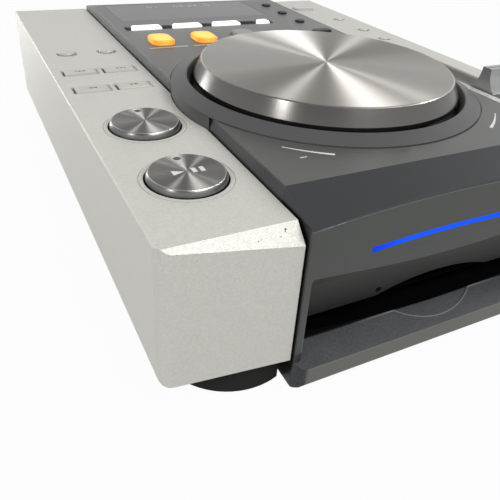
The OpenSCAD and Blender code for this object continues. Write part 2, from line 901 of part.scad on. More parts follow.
// Slotted disc that the light gate reads
module jog_encoder_disc() {
    color([0.12, 0.12, 0.12]) translate([0, jog_y, encoder_z - 0.8]) difference() {
        cylinder(r = 24, h = 0.8);
        translate([0, 0, -cut]) cylinder(r = spindle_r - 1.5, h = 2);
        for (a = [0:15:345]) rotate(a) translate([20, 0, 0]) cube([4, 2, 4], center = true);
    }
}

// ---- Keys ----
big_key_rise = 2.4;
big_key_bow = 4;

// Spun-metal transport key: a flat top with a crisp edge over a bowed side
module transport_key(y) {
    top = side_top + big_key_rise;
    color(spun_metal) translate([left_x, y, 0]) rotate_extrude($fn = 144) {
        intersection() {
            translate([0, skin_z - air - 1]) square([big_key_r, top - skin_z + air + 1]);
            union() {
                square([big_key_r, side_top]);
                square([big_key_r - big_key_bow, top]);
                translate([big_key_r - big_key_bow, side_top]) circle(big_key_bow);
            }
        }
        translate([0, skin_z - air - 1.2]) square([big_key_r + 1.2, 1.2]);
        translate([0, skin_z - 5.5]) square([1.8, 4.5]);
    }
}

module cue_button() { transport_key(cue_y); }
module play_button() { transport_key(play_y); }

module folder_key(i) {
    color(silver_paint)
        round_key([left_x + folder_x[i], folder_y], folder_r, 0.7, side_top, skin_z, 0.5);
}

module folder_back_button() { folder_key(0); }
module folder_next_button() { folder_key(1); }
module track_back_button() { color(silver_paint) bar_key([left_x + pair_x[0], track_y]); }
module track_next_button() { color(silver_paint) bar_key([left_x + pair_x[1], track_y]); }
module search_back_button() { color(silver_paint) bar_key([left_x + pair_x[0], search_y]); }
module search_next_button() { color(silver_paint) bar_key([left_x + pair_x[1], search_y]); }

module lit_cap(i, size) {
    color([0.97, 0.97, 0.95]) cap_key([lit_x[i], lit_y], size, 0.8, 1.1, deck_z, deck_under_z);
}

module effect_a_button() { lit_cap(0, lit_key); }
module effect_b_button() { lit_cap(1, lit_key); }
module effect_c_button() { lit_cap(2, lit_key); }
module hold_button() { lit_cap(3, [hold_w, lit_key[1]]); }

module loop_cap(i) {
    color([1, 0.72, 0.2]) cap_key([loop_x[i], loop_y], loop_key, 4, 2.2, deck_z, deck_under_z);
}

module loop_in_button() { loop_cap(0); }
module loop_out_button() { loop_cap(1); }
module reloop_button() { loop_cap(2); }

module deck_round_key(i) {
    color(soft_black) round_key([round_x, round_ys[i]], small_r, 1, deck_z, deck_under_z, 0.6);
}

module round_button_rear() { deck_round_key(0); }
module round_button_mid() { deck_round_key(1); }
module round_button_front() { deck_round_key(2); }
module mode_button() { color(soft_black) cap_key(mode_at, mode_key, 2.4, 1, deck_z, deck_under_z); }
module eject_button() { color(silver_paint) cap_key(eject_at, eject_key, 2.6, 1.2, side_top, skin_z); }

module side_round_key(y) {
    color(silver_paint) round_key([right_x, y], small_r, 0.7, side_top, skin_z, 0.5);
}

module time_button() { side_round_key(time_y); }
module tempo_range_button() { side_round_key(range_y); }
module master_tempo_button() { side_round_key(master_y); }

// ---- Slider parts ----
knob_foot = [knob_l / 2, side_top];
knob_head = [knob_top_l / 2, side_top + knob_h];
knob_chord = norm(knob_foot - knob_head);
knob_dir = (knob_foot - knob_head) / knob_chord;
knob_scoop_r = 14;
knob_scoop_c = (knob_foot + knob_head) / 2
    + sqrt(knob_scoop_r * knob_scoop_r - knob_chord * knob_chord / 4) * [-knob_dir[1], knob_dir[0]];

// Fader knob with hollow front and rear faces
module tempo_slider_knob() {
    color(silver_paint) translate([slider_x, knob_y, 0]) difference() {
        along_x(knob_w) difference() {
            translate([-knob_l / 2, knob_base_z])
                square([knob_l, side_top + knob_h - knob_base_z]);
            for (m = [0, 1]) mirror([m, 0]) translate(knob_scoop_c) circle(knob_scoop_r);
        }
        block([-stem_w / 2, -stem_l / 2, 0], [stem_w / 2, stem_l / 2, side_top + 4]);
    }
}

fader_top = side_top - trough_h - 2;

module tempo_slider_stem() {
    color(steel) translate([slider_x, knob_y, 0]) {
        block([-stem_w / 2, -stem_l / 2, fader_top - 6], [stem_w / 2, stem_l / 2, side_top + 4]);
        block([-3, -5, fader_top - 9], [3, 5, fader_top - 6]);
    }
}

// Slide potentiometer under the trough
module tempo_fader() {
    color(steel) translate([slider_x, trough_y, 0]) difference() {
        block([-6, -trough_l / 2, fader_top - 12], [6, trough_l / 2, fader_top]);
        block([-4.6, 3 - trough_l / 2, fader_top - 10.5], [4.6, trough_l / 2 - 3, fader_top - 1.5]);
        block([-stem_w / 2 - air, 6 - trough_l / 2, fader_top - 3],
            [stem_w / 2 + air, trough_l / 2 - 6, fader_top + 1]);
    }
}

// ---- Display and boards ----
module display_window() {
    color([0.12, 0.13, 0.14]) translate([display_at[0], display_at[1], deck_z - 1.5])
        linear_extrude(1.45) round_rect(display_size[0], display_size[1], 2);
}

module display_module() {
    color([0.03, 0.08, 0.08]) translate([display_at[0], display_at[1], 0]) {
        block([-46, -19, deck_z - 8], [46, 19, deck_under_z - 0.2]);
        block([-45, -18, deck_under_z - 0.2], [45, 18, deck_z - 1.6]);
    }
}

deck_board_z = deck_under_z - 10.1;
board_t = 1.6;

// A push switch on a board whose top is at z = 0, reaching up to the stem above
module tact_switch(reach) {
    translate([-3, -3, 0]) cube([6, 6, reach - 1]);
    cylinder(r = 1.6, h = reach);
}

// Three boards with a switch under each key stem
module key_boards() {
    reach = skin_z - 5.5 - key_travel - air - boss_z;
    deck_reach = deck_under_z - 5.5 - key_travel - air - deck_board_z;
    color(board_green) {
        block([-106, -125, boss_z - board_t], [-68, 62, boss_z]);
        block([68, 14, boss_z - board_t], [106, 128, boss_z]);
        block([-62, 23, deck_board_z - board_t], [62, 79, deck_board_z]);
        block([42, 79, deck_board_z - board_t], [62, 114, deck_board_z]);
    }
    color(soft_black) {
        for (p = concat([[left_x, cue_y], [left_x, play_y]],
            [for (i = [0, 1]) [left_x + folder_x[i], folder_y]],
            [for (i = [0, 1], y = [track_y, search_y]) [left_x + pair_x[i], y]],
            [for (y = [time_y, range_y, master_y]) [right_x, y]], [eject_at]))
            translate([p[0], p[1], boss_z]) tact_switch(reach);
        for (p = concat([for (x = lit_x) [x, lit_y]], [for (x = loop_x) [x, loop_y]],
            [for (y = round_ys) [round_x, y]], [mode_at]))
            translate([p[0], p[1], deck_board_z]) tact_switch(deck_reach);
    }
}

module main_board() {
    color(board_green) block([-56, 32, board_z], [10, 128, board_z + board_t]);
    color(soft_black) {
        block([-40, 60, board_z + board_t], [-16, 84, board_z + 4.5]);
        block([-34, 96, board_z + board_t], [-20, 108, board_z + 4]);
        for (y = [46, 58, 70]) translate([0, y, 0]) rod(4, board_z + board_t, board_z + 12);
        block([-50, 40, board_z + board_t], [-44, 56, board_z + 8]);
    }
}

// Supply board with its transformer, reservoir capacitors and heat sink
module power_supply() {
    color([0.55, 0.45, 0.25]) block([13, 32, board_z], [61, 128, board_z + board_t]);
    color([0.75, 0.7, 0.3]) block([20, 78, board_z + board_t], [54, 112, board_z + 28]);
    color(soft_black) for (x = [24, 38, 52])
        translate([x, 50, 0]) rod(6, board_z + board_t, board_z + 24);
    color(steel) for (i = [0:4])
        block([18 + 7 * i, 63, board_z + board_t], [20 + 7 * i, 73, board_z + 20]);
}

// ---- Disc drive ----
disc_z = 21.8;
hub_y = -62;
chassis_x = 61.5;
rod_x = 17;
rod_z = 16;
pickup_rest = 30;
roller_y = -112;
roller_z = 17;
screw_x = 23;
arm_pivot = [2, 36];

module drive_chassis() {
    color(steel) {
        difference() {
            union() {
                block([-chassis_x, -122, drive_z], [chassis_x, 12, drive_z + 1.5]);
                both_sides() {
                    block([-chassis_x, -122, drive_z], [1.5 - chassis_x, 12, disc_z + 1]);
                    block([-chassis_x, -8, drive_z], [1.5 - chassis_x, 12, arm_pivot[1] + 5]);
                }
            }
            block([-28, hub_y + 17, drive_z - 1], [28, 8, drive_z + 3]);
            block([-52, roller_y - 6, drive_z - 1], [52, roller_y + 6, drive_z + 3]);
            translate([0, hub_y, 0]) rod(6, drive_z - 1, drive_z + 3);
            translate([0, roller_y, roller_z]) rotate([0, 90, 0])
                cylinder(r = 1.55, h = 200, center = true, $fn = 48);
            translate([0, arm_pivot[0], arm_pivot[1]]) rotate([0, 90, 0])
                cylinder(r = 1.55, h = 200, center = true, $fn = 48);
        }
        // Guide rods of the pickup, in end blocks
        difference() {
            for (y = [hub_y + 17, 8]) block([-30, y - 2, drive_z + 1], [30, y + 2, rod_z + 2.6]);
            translate([screw_x, 0, rod_z]) rotate([90, 0, 0])
                cylinder(r = 1.55, h = 200, center = true, $fn = 48);
        }
        both_sides() translate([rod_x, 6, rod_z]) rotate([90, 0, 0])
            cylinder(r = 1.5, h = 4 - hub_y - 17, $fn = 48);
    }
}

module spindle_motor() {
    color([0.45, 0.45, 0.46]) translate([0, hub_y, 0]) difference() {
        union() {
            rod(13, tub_floor + 0.6, drive_z);
            rod(5.8, drive_z, drive_z + 1.2);
        }
        rod(1.04, tub_floor + 2, drive_z + 3);
    }
}

module turntable() {
    color([0.3, 0.3, 0.31]) translate([0, hub_y, 0]) {
        rotate_extrude() polygon([[0, drive_z + 2], [3, drive_z + 2], [3, disc_z - 3],
            [15, disc_z - 2.2], [15, disc_z - 0.7], [7.4, disc_z - 0.7], [7.4, disc_z + 0.9],
            [5.5, disc_z + 2.6], [0, disc_z + 2.6]]);
        rod(1, tub_floor + 2.5, drive_z + 2);
    }
}

module optical_pickup() {
    pickup_y = hub_y + pickup_rest + 2;
    color([0.1, 0.1, 0.11]) difference() {
        union() {
            block([-21, pickup_y - 9, rod_z - 2.8], [20.6, pickup_y + 9, rod_z + 2.8]);
            translate([0, pickup_y, 0]) rod(5, rod_z + 2.8, disc_z - 1.6);
        }
        both_sides() translate([rod_x, 0, rod_z]) rotate([90, 0, 0])
            cylinder(r = 1.54, h = 200, center = true, $fn = 48);
    }
    color([0.35, 0.5, 0.6]) translate([0, pickup_y, disc_z - 1.6]) cylinder(r = 2, h = 0.6, $fn = 48);
}

// Lead screw beside the pickup: journals at both ends, and ridges at the thread's 3 mm pitch
module feed_screw() {
    thread_l = 2.4 - hub_y - 17;
    turns = floor(thread_l / 3);
    color(steel) translate([screw_x, 0, rod_z]) rotate([90, 0, 0]) {
        translate([0, 0, -10]) cylinder(r = 1.5, h = 8 - hub_y - 17 + 6, $fn = 48);
        translate([0, 0, -4.8]) rotate_extrude($fn = 48)
            polygon(concat([[0, 0]], [for (i = [0:turns - 1], p = [[1.5, 0], [1.9, 0.8], [1.9, 1.6],
                [1.5, 2.4]]) [p[0], 3 * i + p[1]]], [[1.5, thread_l], [0, thread_l]]));
    }
}

module loading_roller() {
    color([0.09, 0.09, 0.09]) translate([0, roller_y, roller_z]) rotate([0, 90, 0]) {
        cylinder(r = 1.5, h = 2 * chassis_x - 0.4, center = true, $fn = 48);
        cylinder(r = 4, h = 100, center = true);
    }
}

// Clamp arm above the disc, on its cross shaft, with the clamp puck at its end
module clamp_arm() {
    color(steel) {
        translate([0, arm_pivot[0], arm_pivot[1]]) rotate([0, 90, 0])
            cylinder(r = 1.5, h = 2 * chassis_x - 0.4, center = true, $fn = 48);
        difference() {
            block([-12, hub_y - 14, arm_pivot[1] - 1.6], [12, arm_pivot[0] + 4, arm_pivot[1] + 3]);
            block([-10.5, hub_y - 15, arm_pivot[1]], [10.5, arm_pivot[0] - 4, arm_pivot[1] + 4]);
            translate([0, arm_pivot[0], arm_pivot[1]]) rotate([0, 90, 0])
                cylinder(r = 1.5, h = 60, center = true, $fn = 48);
        }
    }
    color(soft_black) translate([0, hub_y, 0]) rotate_extrude()
        polygon([[0, disc_z + 3.6], [8.4, disc_z + 3.6], [8.4, disc_z + 1.2], [14, disc_z + 1.2],
            [14, disc_z + 3.4], [10, arm_pivot[1] - 1.6], [0, arm_pivot[1] - 1.6]]);
}

bottom_case();
left_side_cover();
right_side_cover();
top_panel();
front_fascia();
slot_cowl();
light_strip();
slot_felt();
rear_panel();
feet();
case_screws();
jog_ring();
jog_dial();
jog_spindle();
jog_bearing();
jog_encoder_disc();
cue_button();
play_button();
folder_back_button();
folder_next_button();
track_back_button();
track_next_button();
search_back_button();
search_next_button();
effect_a_button();
effect_b_button();
effect_c_button();
hold_button();
loop_in_button();
loop_out_button();
reloop_button();
round_button_rear();
round_button_mid();
round_button_front();
mode_button();
eject_button();
time_button();
tempo_range_button();
master_tempo_button();
tempo_slider_knob();
tempo_slider_stem();
tempo_fader();
display_window();
display_module();
audio_jacks();
digital_jack();
control_jack();
ac_inlet();
power_switch_body();
power_switch_rocker();
main_board();
power_supply();
key_boards();
drive_chassis();
spindle_motor();
turntable();
optical_pickup();
feed_screw();
loading_roller();
clamp_arm();
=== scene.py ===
"""Looks of the tabletop disc player: its finishes, turned and printed pieces, and the studio around it."""

import json
import logging
import math
from collections.abc import Sequence
from dataclasses import dataclass, replace
from enum import Enum
from functools import reduce
from typing import ClassVar

import bmesh
import bpy
from mathutils import Matrix, Vector


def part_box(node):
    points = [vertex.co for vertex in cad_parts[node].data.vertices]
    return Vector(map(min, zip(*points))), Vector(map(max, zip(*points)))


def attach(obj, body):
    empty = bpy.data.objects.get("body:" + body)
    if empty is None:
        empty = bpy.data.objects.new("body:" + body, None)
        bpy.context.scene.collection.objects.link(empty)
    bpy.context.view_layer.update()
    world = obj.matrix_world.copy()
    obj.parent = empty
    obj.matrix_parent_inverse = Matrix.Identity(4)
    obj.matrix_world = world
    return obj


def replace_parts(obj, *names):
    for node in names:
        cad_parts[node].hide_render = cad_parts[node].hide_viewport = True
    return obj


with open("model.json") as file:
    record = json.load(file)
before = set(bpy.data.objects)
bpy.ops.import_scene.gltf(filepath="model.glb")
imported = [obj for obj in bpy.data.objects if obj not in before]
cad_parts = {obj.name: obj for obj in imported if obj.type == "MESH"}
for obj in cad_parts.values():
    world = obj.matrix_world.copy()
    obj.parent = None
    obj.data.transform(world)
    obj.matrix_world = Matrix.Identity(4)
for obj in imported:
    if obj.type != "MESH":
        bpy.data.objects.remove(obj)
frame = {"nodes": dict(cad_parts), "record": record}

LOG = logging.getLogger("disc_player")
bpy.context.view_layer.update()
MM = 0.001
SIDE_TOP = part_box("left_side_cover")[1].z
DECK_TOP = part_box("top_panel")[1].z
FRONT_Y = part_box("front_fascia")[0].y
DIAL_CENTRE = (0.0, -47.85)
MERGE_DISTANCE = 1e-6
FINE_DETAIL = 3.0
BROAD_DETAIL = 2.0
HANDLING_SCALE = 14.0
WHITE = (1.0, 1.0, 1.0)

Pair = tuple[float, float]
Triple = tuple[float, float, float]
Colour = Triple
Socket = bpy.types.NodeSocket


def srgb(*levels: int) -> Colour:
    """Turns red, green and blue of a photograph, from 0 to 255, into a shader's linear colour."""
    parts = [level / 255 for level in levels]
    return tuple(part / 12.92 if part <= 0.04045 else ((part + 0.055) / 1.055) ** 2.4 for part in parts)


class Nodes:
    """A node tree with its place, x, y and z, and with short ways to add what the looks need."""

    def __init__(self, tree: bpy.types.NodeTree, coordinates: str) -> None:
        """Starts from a tree.

        Args:
            tree: The tree.
            coordinates: Which texture coordinates its patterns read.
        """
        self.tree = tree
        self.place = self.add("TexCoord", {}, coordinates)
        self.x, self.y, self.z = self.split(self.place)

    def put(self, socket: Socket, value: object) -> None:
        """Sets an input, or links it when the value is an output.

        Args:
            socket: The input.
            value: An output, a number or a colour.
        """
        if isinstance(value, Socket):
            self.tree.links.new(value, socket)
        elif isinstance(value, tuple) and len(value) == 3 and socket.type == "RGBA":
            socket.default_value = (*value, 1)
        else:
            socket.default_value = value

    def add(self, kind: str, inputs: dict[int | str, object], output: int | str = 0,
            **settings: str) -> Socket:
        """Adds a node, sets it up and feeds it.

        Args:
            kind: The node's kind, without the words that all kinds start with.
            inputs: Outputs, numbers or colours for its inputs, by name or number.
            output: Which of its outputs is wanted.
            settings: Its own settings.

        Returns:
            That output.
        """
        node = self.tree.nodes.new(f"ShaderNode{kind}")
        for name, value in settings.items():
            setattr(node, name, value)
        for name, value in inputs.items():
            self.put(node.inputs[name], value)
        return node.outputs[output]

    def math(self, operation: str, *values: object) -> Socket:
        """The result of an operation on outputs and numbers."""
        return self.add("Math", dict(enumerate(values)), operation=operation)

    def times(self, *levels: object) -> Socket:
        """The product of the levels."""
        return reduce(lambda first, second: self.math("MULTIPLY", first, second), levels)

    def highest(self, *levels: object) -> Socket:
        """The highest of the levels."""
        return reduce(lambda first, second: self.math("MAXIMUM", first, second), levels)

    def blend(self, first: Socket, second: Socket, share: float) -> Socket:
        """The sum of two levels, the first weighted by share and the second by the rest."""
        return self.math("ADD", self.times(first, share), self.times(second, 1 - share))

    def squares(self, across: Socket, along: Socket) -> Socket:
        """The sum of the squares of two levels."""
        return self.math("ADD", self.times(across, across), self.times(along, along))

    def noise(self, scale: float, detail: float = FINE_DETAIL, place: Socket | None = None) -> Socket:
        """A pattern's level, about 0.5 on average, with that many features per metre and octaves."""
        inputs = {"Scale": scale, "Detail": detail, "Vector": place or self.place}
        return self.add("TexNoise", inputs, "Fac")

    def ramp(self, level: Socket, low: float, high: float, ends: Pair = (0.0, 1.0),
             easing: str = "LINEAR") -> Socket:
        """A level stretched so that low and high give the two ends, and held there beyond them."""
        inputs = {"Value": level, "From Min": low, "From Max": high, "To Min": ends[0], "To Max": ends[1]}
        return self.add("MapRange", inputs, "Result", interpolation_type=easing)

    def near(self, level: Socket, middle: float, reach: float) -> Socket:
        """A level that is 1 at the middle and falls to 0 at reach from it."""
        return self.ramp(self.math("ABSOLUTE", self.math("SUBTRACT", level, middle)), reach, 0.0)

    def mix(self, share: object, first: object, second: object) -> Socket:
        """The first colour with a share of the second."""
        return self.add("Mix", {0: share, 6: first, 7: second}, 2, data_type="RGBA")

    def mix_shaders(self, share: Socket, first: Socket, second: Socket) -> Socket:
        """The first shader with a share of the second."""
        return self.add("MixShader", {0: share, 1: first, 2: second})

    def split(self, place: Socket) -> tuple[Socket, Socket, Socket]:
        """The three numbers of a vector."""
        return tuple(self.add("SeparateXYZ", {0: place}).node.outputs)

    def vector(self, x: object, y: object, z: object) -> Socket:
        """The vector of three numbers."""
        return self.add("CombineXYZ", {0: x, 1: y, 2: z})

    def rays(self) -> tuple[Socket, Socket]:
        """Which rays the camera sends, also through glass, and which are reflected."""
        path = self.add("LightPath", {}).node.outputs
        return self.highest(path["Is Camera Ray"], path["Is Transmission Ray"]), path["Is Glossy Ray"]

    def from_axis(self, centre: Sequence[float]) -> tuple[Socket, Socket, Socket]:
        """The offsets along X and Y from an upright axis at a place in plan, and the distance."""
        across, along = (self.math("SUBTRACT", level, at) for level, at in zip((self.x, self.y), centre))
        return across, along, self.math("SQRT", self.squares(across, along))


class Graph(Nodes):
    """A material's nodes, with its shader and its distance to either side of the middle."""

    def __init__(self, name: str) -> None:
        """Makes a material with its shader.

        Args:
            name: The material's name.
        """
        self.material = bpy.data.materials.new(name)
        self.material.use_nodes = True
        super().__init__(self.material.node_tree, "Object")
        self.shader = self.tree.nodes["Principled BSDF"]
        self.side = self.math("ABSOLUTE", self.x)

    def fit(self, name: str, value: object) -> None:
        """Sets or links an input of the shader."""
        self.put(self.shader.inputs[name], value)

    def bump(self, height: Socket, depth: float) -> None:
        """Raises the surface by a pattern whose full height is depth, in metres."""
        self.fit("Normal", self.add("Bump", {"Distance": depth, "Height": height}))


@dataclass(frozen=True)
class Finish:
    """A plain moulded or painted surface with a fine grain."""

    name: str
    colour: Colour
    roughness: float = 0.5
    metallic: float = 0.0
    grain: float = 900.0
    grain_depth: float = 0.00003
    variation: float = 0.12
    specular: float = 0.5
    uneven: float = 0.12
    fine_share: float = 0.6

    def material(self) -> bpy.types.Material:
        """Makes the finish's material the first time that it is asked for.

        Returns:
            The material.
        """
        name = f"{self.name}_finish"
        if name not in bpy.data.materials:
            graph = Graph(name)
            self.settle(graph)
            self.colour_in(graph)
        return bpy.data.materials[name]

    def fitted(self, node: str) -> "Finish":
        """The finish as a CAD node wears it."""
        return self

    def settle(self, graph: Graph) -> None:
        """Sets what is the same all over the surface."""
        graph.fit("Metallic", self.metallic)
        graph.fit("Specular IOR Level", self.specular)

    def shade(self, factor: float) -> Colour:
        """The finish's colour, lighter or darker by a factor."""
        return tuple(min(1.0, part * factor) for part in self.colour)

    def varied(self, graph: Graph, share: Socket) -> Socket:
        """The finish's colour, from darker to lighter by a pattern."""
        return graph.mix(share, self.shade(1 - self.variation), self.shade(1 + self.variation))

    def surface(self, graph: Graph, colour: Socket, level: Socket) -> None:
        """Links the colour, and a roughness that is uneven with a pattern's level."""
        graph.fit("Base Color", colour)
        graph.fit("Roughness", graph.math(
            "MULTIPLY_ADD", level, self.uneven, self.roughness - self.uneven / 2))

    def paint(self, graph: Graph, fine: Socket, broad: Socket) -> Socket:
        """The surface's colour, which follows its grain and its handling."""
        return self.varied(graph, graph.blend(fine, broad, self.fine_share))

    def colour_in(self, graph: Graph) -> None:
        """Adds the grain, the colour and the wear of the gloss.

        Args:
            graph: The material.
        """
        fine = graph.noise(self.grain)
        broad = graph.noise(HANDLING_SCALE, BROAD_DETAIL)
        self.surface(graph, self.paint(graph, fine, broad), broad)
        graph.bump(fine, self.grain_depth)


@dataclass(frozen=True)
class SparklePaint(Finish):
    """Metallic paint with tiny flakes, chipped on its front bevel, with painted shade in its wells."""

    flake: float = 2000.0
    flake_share: float = 0.7
    speckle: float = 2600.0
    cloud: float = 9.0
    cloud_share: float = 0.15
    uneven: float = 0.16
    bevel_y: float = -0.1378
    bevel_drop: Pair = (0.0085, 0.0065)
    chip_scale: float = 900.0
    chip_at: Pair = (0.70, 0.73)
    chip: Colour = srgb(66, 62, 54)
    wells_x: Pair = (0.0685, 0.1055)
    wells_front: float = -0.134
    wells_drop: Pair = (0.0003, 0.0014)
    edge: float = 0.0005
    # Colour and share of the painted shade inside the wells.
    well_shade: Colour = srgb(96, 94, 88)
    well_shade_share: float = 0.7

    def recessed(self, graph: Graph) -> Socket:
        """1 where the paint lies inside the wells of the keys and of the slider, and 0 elsewhere."""
        inner, outer = self.wells_x
        return graph.times(
            graph.ramp(graph.side, inner, inner + self.edge),
            graph.ramp(graph.side, outer, outer - self.edge),
            graph.ramp(graph.y, self.wells_front, self.wells_front + 2 * self.edge),
            graph.ramp(graph.z, *(SIDE_TOP - drop for drop in self.wells_drop)))

    def chipped(self, graph: Graph) -> Socket:
        """1 where the paint is chipped off the front bevel, and 0 elsewhere."""
        return graph.times(
            graph.ramp(graph.y, self.bevel_y + 2 * self.edge, self.bevel_y),
            graph.ramp(graph.z, *(SIDE_TOP - drop for drop in self.bevel_drop)),
            graph.ramp(graph.noise(self.chip_scale), *self.chip_at))

    def colour_in(self, graph: Graph) -> None:
        """Adds flakes that catch the light, the chips and the painted shade in the wells.

        Args:
            graph: The material.
        """
        flakes = graph.add("TexVoronoi", {"Scale": self.flake, "Vector": graph.place}, "Color")
        spark = graph.split(flakes)[0]
        soft = graph.blend(spark, graph.noise(self.speckle), self.flake_share)
        paint = self.varied(graph, graph.blend(graph.noise(self.cloud), soft, self.cloud_share))
        # Painted shade: the wells of the keys and of the slider are darkened where shade falls.
        paint = graph.mix(graph.times(self.recessed(graph), self.well_shade_share), paint, self.well_shade)
        paint = graph.mix(self.chipped(graph), paint, self.chip)
        self.surface(graph, paint, spark)
        graph.bump(spark, self.grain_depth)


@dataclass(frozen=True)
class FrontPaint(Finish):
    """Dark paint of the front, with painted highlights and light wear along its crease, mouth, lip and
    notch, and painted shade.
    """

    crease_y: float = -0.1449
    crease_z: float = 0.0668
    crease_reach: float = 0.0046
    crease_line: float = 0.0003
    crease_noise: float = 160.0
    crease_share: float = 0.9
    chip_line: float = 0.0004
    chip_ease: float = 0.6
    chip_noise: float = 420.0
    chip_at: Pair = (0.54, 0.58)
    chip: Colour = srgb(150, 150, 146)
    seam_x: float = 0.0647
    mouth_x: float = 0.0623
    mouth_z: Pair = (0.046, 0.016)
    mouth_y: Pair = (-0.142, -0.143)
    lip_y: float = -0.13875
    lip_z: float = 0.0175
    crest_x: Pair = (0.038, 0.022)
    shade_y: Pair = (0.002, 0.011)
    notch_at: Pair = (0.0, -0.11305)
    notch_r: float = 0.0317
    # Widths and share of the painted edge highlights, which also stand for light wear.
    highlight_width: float = 0.0004
    notch_highlight_width: float = 0.00045
    crest_end: float = 0.0005
    lip_ease: float = 0.001
    lip_gap: float = 0.0006
    highlight_share: float = 0.8
    edge: float = 0.0002
    mottle: Pair = (1100.0, 45.0)
    mottle_at: Pair = (0.3, 0.7)
    # Colours: painted edge highlights, the band and seams in painted shade, the mottled lip top, and the
    # lip's front face painted lighter as if lit.
    edge_highlight: Colour = srgb(138, 140, 140)
    shaded_band: Colour = srgb(58, 60, 63)
    seam_shade: Colour = srgb(14, 14, 14)
    lip_dark: Colour = srgb(38, 42, 44)
    lip_top: Colour = srgb(66, 70, 72)
    lit_lip_face: Colour = srgb(104, 104, 99)

    def edge_highlights(self, graph: Graph) -> Socket:
        """How far painted highlights, with light wear, run along the mouth, the lip's crest and the notch's
        rim.

        Args:
            graph: The material.

        Returns:
            1 along the middle of each highlight line, falling to 0 beside it.
        """
        reach = graph.from_axis(self.notch_at)[2]
        notch = graph.times(
            graph.near(reach, self.notch_r, self.notch_highlight_width),
            graph.ramp(graph.z, self.lip_z + self.lip_ease, self.lip_z),
            graph.ramp(graph.y, self.lip_y + self.lip_ease, self.lip_y))
        crest = graph.times(
            graph.near(graph.y, self.lip_y, self.highlight_width), graph.near(graph.z, self.lip_z, 2 * self.highlight_width),
            graph.ramp(reach, self.notch_r - self.crest_end, self.notch_r),
            graph.ramp(graph.side, *self.crest_x))
        over = self.lip_z + self.lip_gap
        mouth = graph.times(
            graph.near(graph.side, self.mouth_x, self.highlight_width), graph.ramp(graph.z, *self.mouth_z),
            graph.ramp(graph.z, over, over + self.lip_ease), graph.ramp(graph.y, *self.mouth_y))
        return graph.highest(notch, crest, mouth)

    def lip(self, graph: Graph) -> Socket:
        """The lip's colour: mottled on top, black painted shadow in the slot behind its crest, and a front
        face painted lighter as if lit.

        Args:
            graph: The material.

        Returns:
            The colour.
        """
        reach = graph.from_axis(self.notch_at)[2]
        fine, broad = (graph.noise(scale) for scale in self.mottle)
        share = graph.ramp(graph.blend(fine, broad, 0.5), *self.mottle_at)
        top = graph.mix(share, self.lip_dark, self.lip_top)
        start, end = self.shade_y
        # Painted shadow: black in the slot behind the lip's crest.
        slot_shadow = graph.times(
            graph.ramp(graph.y, self.lip_y + self.edge, self.lip_y + 4 * self.edge),
            graph.ramp(reach, self.notch_r, self.notch_r + 2 * self.edge))
        slot_shadow = graph.highest(slot_shadow, graph.ramp(graph.y, self.lip_y - start, self.lip_y + end))
        top = graph.mix(slot_shadow, top, self.seam_shade)
        # The lip's front face is painted lighter, as if lit.
        on_top = graph.ramp(graph.y, FRONT_Y + self.edge / 2, FRONT_Y + 2 * self.edge)
        return graph.mix(on_top, self.lit_lip_face, top)

    def chipped(self, graph: Graph) -> Socket:
        """1 where the paint is chipped along the crease, and 0 elsewhere."""
        line = graph.times(graph.near(graph.z, self.crease_z, self.chip_line),
                           graph.near(graph.y, self.crease_y, self.crease_reach))
        return graph.ramp(
            graph.times(graph.ramp(line, 0.0, self.chip_ease), graph.noise(self.chip_noise)), *self.chip_at)

    def paint(self, graph: Graph, fine: Socket, broad: Socket) -> Socket:
        """The front's colour: the face, the band darkened as painted shade, the lip, painted shade in the
        seams, and painted highlights along the edges.

        Args:
            graph: The material.
            fine: The fine grain.
            broad: The unevenness of handling.

        Returns:
            The colour.
        """
        paint = super().paint(graph, fine, broad)
        # Painted shade: the sloping band above the crease is darker.
        shaded_band = graph.mix(graph.blend(fine, broad, 0.5), self.shaded_band, graph.mix(0.5, self.shaded_band, paint))
        above = graph.ramp(graph.z, self.crease_z - self.edge / 2, self.crease_z + self.edge / 2)
        paint = graph.mix(above, paint, shaded_band)
        # Painted highlight along the crease, broken by a pattern.
        line = graph.near(graph.z, self.crease_z, self.crease_line)
        line = graph.times(line, graph.noise(self.crease_noise), self.crease_share)
        paint = graph.mix(line, paint, self.edge_highlight)
        under = graph.ramp(graph.z, self.lip_z + 6 * self.edge, self.lip_z + 4 * self.edge)
        paint = graph.mix(under, paint, self.lip(graph))
        # Painted highlights along the mouth, the lip's crest and the notch's rim.
        paint = graph.mix(graph.times(self.edge_highlights(graph), self.highlight_share), paint, self.edge_highlight)
        # Painted shade in the seams beside the front.
        beside = graph.ramp(graph.side, self.seam_x, self.seam_x + self.edge)
        paint = graph.mix(beside, paint, self.seam_shade)
        return graph.mix(self.chipped(graph), paint, self.chip)


@dataclass(frozen=True)
class DeckPaint(Finish):
    """Dark paint of the deck, with painted shade on its sloping flanks and inside its wells."""

    drop: Pair = (0.0002, 0.0009)
    flank_shade: Colour = srgb(50, 52, 54)

    def paint(self, graph: Graph, fine: Socket, broad: Socket) -> Socket:
        """The deck's colour, darkened below its flat top as painted shade."""
        # Painted shade: everything below the flat top, flanks and wells, takes the darker colour.
        below = graph.ramp(graph.z, *(DECK_TOP - drop for drop in self.drop))
        return graph.mix(below, super().paint(graph, fine, broad), self.flank_shade)


